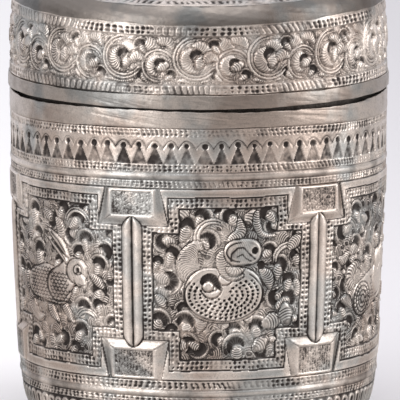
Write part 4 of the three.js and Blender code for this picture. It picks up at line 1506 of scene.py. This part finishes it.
def draw_top_middle(step):
    """Ridge, punch row and a lotus rosette that closes on a round boss."""
    sheet = ring_sheet(TOP_SPLIT, TOP_HOLE, TOP_SPLIT, step)
    theta = sheet.u / sheet.turn_radius
    r = sheet.v
    plain_rows(sheet, 0, TOP_SPLIT + 1, 0.2, 0.3)
    for count, low, high, shift in ((16, 4.0, 15.2, 0.5), (16, 4.0, 14.0, 0.0), (8, 2.6, 8.6, 0.0)):
        s = np.abs((theta * count / (2 * math.pi) + shift) % 1 - 0.5) * 2
        rise = np.clip((r - low) / (high - low), 0, 1)
        half = np.clip(1 - rise ** 3, 0, 1) ** 0.6 * 0.93
        inside = (s < half) & (r > low) & (r < high)
        veins = np.clip(np.cos(2 * math.pi * (r - 1.2 * s * r / count * 3) / 1.0) * 1.4 - 0.5, 0, 1)
        dome = np.clip(1 - (s / np.maximum(half, 1e-6)) ** 2, 0, 1) ** 0.4
        edge = (s < half + 0.1) & (r > low) & (r < high + 0.3) & ~inside
        sheet.lift[edge], sheet.patina[edge] = 0.0, 0.8
        sheet.lift[inside] = (0.7 * dome - 0.12 * veins)[inside]
        sheet.patina[inside] = (0.1 + 0.5 * veins)[inside]
    boss = r < ROSETTE_BOSS
    sheet.lift[boss] = 0.9 * np.sqrt(np.clip(1 - (r[boss] / (ROSETTE_BOSS + 0.1)) ** 2, 0, 1))
    sheet.patina[boss] = 0.08
    punch_band(sheet, *MIDDLE_PUNCHES, 84, 0.4, seed=57)
    round_ridge(sheet, *MIDDLE_RIDGE, 0.5)
    return sheet


def make_top_piece(name, sheet):
    """The sheet's v is the radius here, so its first row is the inmost one."""
    def place(v, lift, theta):
        return v + 0 * theta, lid_top_height(v) + lift * 0.5

    for layer in LAYERS:
        setattr(sheet, layer, getattr(sheet, layer)[::-1])
    sheet.v = sheet.v[::-1]
    radii = np.linspace(sheet.v_axis[0], sheet.v_axis[-1], 5)
    inner = np.column_stack((radii, lid_top_height(radii) - LID_TOP_THICKNESS))
    piece = shell(name, sheet, sheet.u_axis / sheet.turn_radius, place, inner, True)
    if sheet.v_axis[0] <= TOP_HOLE:
        close_middle(piece)
    hand_over(piece, "lid", "chased_silver", "lid_top")


def close_middle(piece):
    """Turn the small hole at the dome's middle into two poles."""
    work = bmesh.new()
    work.from_mesh(piece.data)
    hole = {v for v in work.verts if math.hypot(v.co.x, v.co.y) < (TOP_HOLE + 0.01) * MM}
    high = max(v.co.z for v in hole)
    rim = [f for f in work.faces if hole.issuperset(f.verts)]
    bmesh.ops.delete(work, geom=rim, context="FACES_ONLY")
    for upper in (True, False):
        ring = [v for v in hole if v.is_valid and (v.co.z > high - 0.3 * MM) == upper]
        bmesh.ops.pointmerge(work, verts=ring, merge_co=Vector((0, 0, sum(v.co.z for v in ring) / len(ring))))
    work.to_mesh(piece.data)
    work.free()


class BETELBOX_OT_tray(bpy.types.Operator):
    """Model the lift-out tray"""
    bl_idname = "betelbox.tray"
    bl_label = "Tray"

    def execute(self, context):
        wall = ring_for("tray_side", "tray_wall")
        hand_over(wall, "tray", "plain_silver", "tray_wall")
        floor = disc_for("tray_plate", "tray_floor")
        hand_over(floor, "tray", "plain_silver", "tray_floor")
        outer, low, top = radius_of("tray_rim_wire"), low_of("tray_rim_wire"), top_of("tray_rim_wire")
        across, upright = TRAY_LIP_RADII
        profile = [(outer - across - 0.03 + across * math.cos(a), (low + top) / 2 + upright * math.sin(a))
                   for a in np.linspace(0, 2 * math.pi, 17)[:-1]]
        wire = spun("tray_lip", profile)
        smooth_by_angle(wire, 60)
        hand_over(wire, "tray", "worn_silver", "tray_rim_wire")
        return {"FINISHED"}


class BETELBOX_OT_stage(bpy.types.Operator):
    """Set the floor, the backdrop, the lights and the camera"""
    bl_idname = "betelbox.stage"
    bl_label = "Stage"

    def execute(self, context):
        settings = context.scene.betel_stage
        make_floor(settings)
        make_world(context, settings)
        make_lights()
        make_camera(context, settings)
        context.scene.view_settings.view_transform = "Standard"
        return {"FINISHED"}


def seen_share(tree, behind):
    """1 where the pale backdrop shows: for the camera, and in the metal where it lies behind the box."""
    light = node(tree, "ShaderNodeLightPath")
    mirrored = math_node(tree, "ADD", light.outputs["Is Glossy Ray"], light.outputs["Is Transmission Ray"])
    mirrored = math_node(tree, "MULTIPLY", mirrored, behind)
    shown = node(tree, "ShaderNodeMath", operation="ADD", use_clamp=True)
    tree.links.new(light.outputs["Is Camera Ray"], shown.inputs[0])
    tree.links.new(mirrored, shown.inputs[1])
    return shown.outputs[0]


def make_floor(settings):
    """A wide pale floor, darker to the right and towards the front as painted shade. In the metal its front
    part looks like a dim studio's.
    """
    deselect_all()
    bpy.ops.mesh.primitive_circle_add(vertices=96, radius=FLOOR_RADIUS, fill_type="NGON",
                                      location=(0, 0, 0))
    floor = bpy.context.object
    floor.name = "floor"
    pale = bpy.data.materials.new("pale_floor")
    pale.use_nodes = True
    tree = pale.node_tree
    shader = tree.nodes["Principled BSDF"]
    place = node(tree, "ShaderNodeSeparateXYZ")
    tree.links.new(node(tree, "ShaderNodeTexCoord").outputs["Object"], place.inputs[0])
    behind = ramp(tree, place.outputs["Y"], 0.1, 0.6)
    light = node(tree, "ShaderNodeLightPath")
    in_front = math_node(tree, "SUBTRACT", 1.0, behind)
    mirrored = math_node(tree, "MULTIPLY", light.outputs["Is Glossy Ray"], in_front)
    a = settings.camera_azimuth
    rightward = math_node(tree, "MULTIPLY_ADD", place.outputs["Y"], math.sin(a),
                          math_node(tree, "MULTIPLY", place.outputs["X"], math.cos(a)))
    # Painted shade on the floor: darker to the right of the box and towards the front
    colour = mix_colour(tree, ramp(tree, rightward, -0.09, 0.09), settings.floor, settings.floor_painted_shade)
    colour = mix_colour(tree, ramp(tree, place.outputs["Y"], 0.4, -0.6), colour, settings.floor_painted_shade)
    colour = mix_colour(tree, mirrored, colour, settings.floor_in_metal)
    tree.links.new(colour, shader.inputs["Base Color"])
    shader.inputs["Roughness"].default_value = 0.7
    floor.data.materials.append(pale)


def make_world(context, settings):
    """A pale backdrop all round for the camera, and behind the box for its metal; a room elsewhere."""
    world = bpy.data.worlds.new("studio")
    context.scene.world = world
    world.use_nodes = True
    tree = world.node_tree
    tree.nodes.clear()
    output = node(tree, "ShaderNodeOutputWorld")
    background = node(tree, "ShaderNodeBackground", Strength=1.0)
    tree.links.new(background.outputs["Background"], output.inputs["Surface"])
    direction = node(tree, "ShaderNodeSeparateXYZ")
    tree.links.new(node(tree, "ShaderNodeTexCoord").outputs["Generated"], direction.inputs[0])
    behind = ramp(tree, direction.outputs["Y"], 0.35, 0.85)
    overhead = ramp(tree, direction.outputs["Z"], 0.2, 0.75)
    room = mix_colour(tree, overhead, settings.room, settings.ceiling)
    colour = mix_colour(tree, seen_share(tree, behind), room, settings.background)
    tree.links.new(colour, background.inputs["Color"])


def direction_to(azimuth, elevation):
    """From the box towards a camera or lamp; both angles in radians."""
    level = math.cos(elevation)
    return Vector((math.sin(azimuth) * level, -math.cos(azimuth) * level, math.sin(elevation)))


def make_lights():
    for name, (azimuth, elevation, distance, width, height, radiance) in LAMPS.items():
        data = bpy.data.lights.new(name, "AREA")
        data.shape = "RECTANGLE"
        data.size, data.size_y = width, height
        data.energy = radiance * math.pi * width * height
        data.color = LAMP_COLOUR
        back = direction_to(math.radians(azimuth), math.radians(elevation))
        stand(name, data, Vector((0, 0, LAMP_AIM_HEIGHT)) + back * distance, back)


def stand(name, data, location, back):
    """A lamp or a camera that looks against the direction back."""
    thing = add_object(name, data)
    thing.location = location
    thing.rotation_euler = back.to_track_quat("Z", "Y").to_euler()
    return thing


def make_camera(context, settings):
    data = bpy.data.cameras.new("camera")
    back = direction_to(settings.camera_azimuth, settings.camera_elevation)
    right = Vector((math.cos(settings.camera_azimuth), math.sin(settings.camera_azimuth), 0))
    aside = settings.frame_width * AXIS_OFFSET_PIXELS / PICTURE_PIXELS
    target = Vector((0, 0, settings.look_height)) + right * aside
    context.scene.camera = stand("camera", data, target + back * settings.camera_distance, back)
    data.lens = data.sensor_width * settings.camera_distance / settings.frame_width
    data.clip_start, data.clip_end = 0.01, 100


class BETELBOX_PT_panel(bpy.types.Panel):
    bl_label = "Betel Box"
    bl_idname = "BETELBOX_PT_panel"
    bl_space_type = "VIEW_3D"
    bl_region_type = "UI"
    bl_category = "Betel Box"

    def draw(self, context):
        for group in (context.scene.betel_sizes, context.scene.betel_finish, context.scene.betel_stage):
            column = self.layout.column(align=True)
            for name in group.__annotations__:
                column.prop(group, name)
        for operator in OPERATORS:
            self.layout.operator(operator.bl_idname)


OPERATORS = (
    BETELBOX_OT_finishes, BETELBOX_OT_panels, BETELBOX_OT_borders, BETELBOX_OT_body_rings,
    BETELBOX_OT_lid_band, BETELBOX_OT_lid_rings, BETELBOX_OT_lid_top, BETELBOX_OT_tray, BETELBOX_OT_stage,
)
GROUPS = (("betel_sizes", SizeSettings), ("betel_finish", FinishSettings), ("betel_stage", StageSettings))


def register():
    for name, group in GROUPS:
        bpy.utils.register_class(group)
        setattr(bpy.types.Scene, name, bpy.props.PointerProperty(type=group))
    for operator in OPERATORS:
        bpy.utils.register_class(operator)
    bpy.utils.register_class(BETELBOX_PT_panel)


def unregister():
    bpy.utils.unregister_class(BETELBOX_PT_panel)
    for operator in reversed(OPERATORS):
        bpy.utils.unregister_class(operator)
    for name, group in reversed(GROUPS):
        delattr(bpy.types.Scene, name)
        bpy.utils.unregister_class(group)


def main():
    register()
    for operator in OPERATORS:
        name = operator.bl_idname.split(".")[1]
        getattr(bpy.ops.betelbox, name)()


if __name__ == "__main__":
    main()
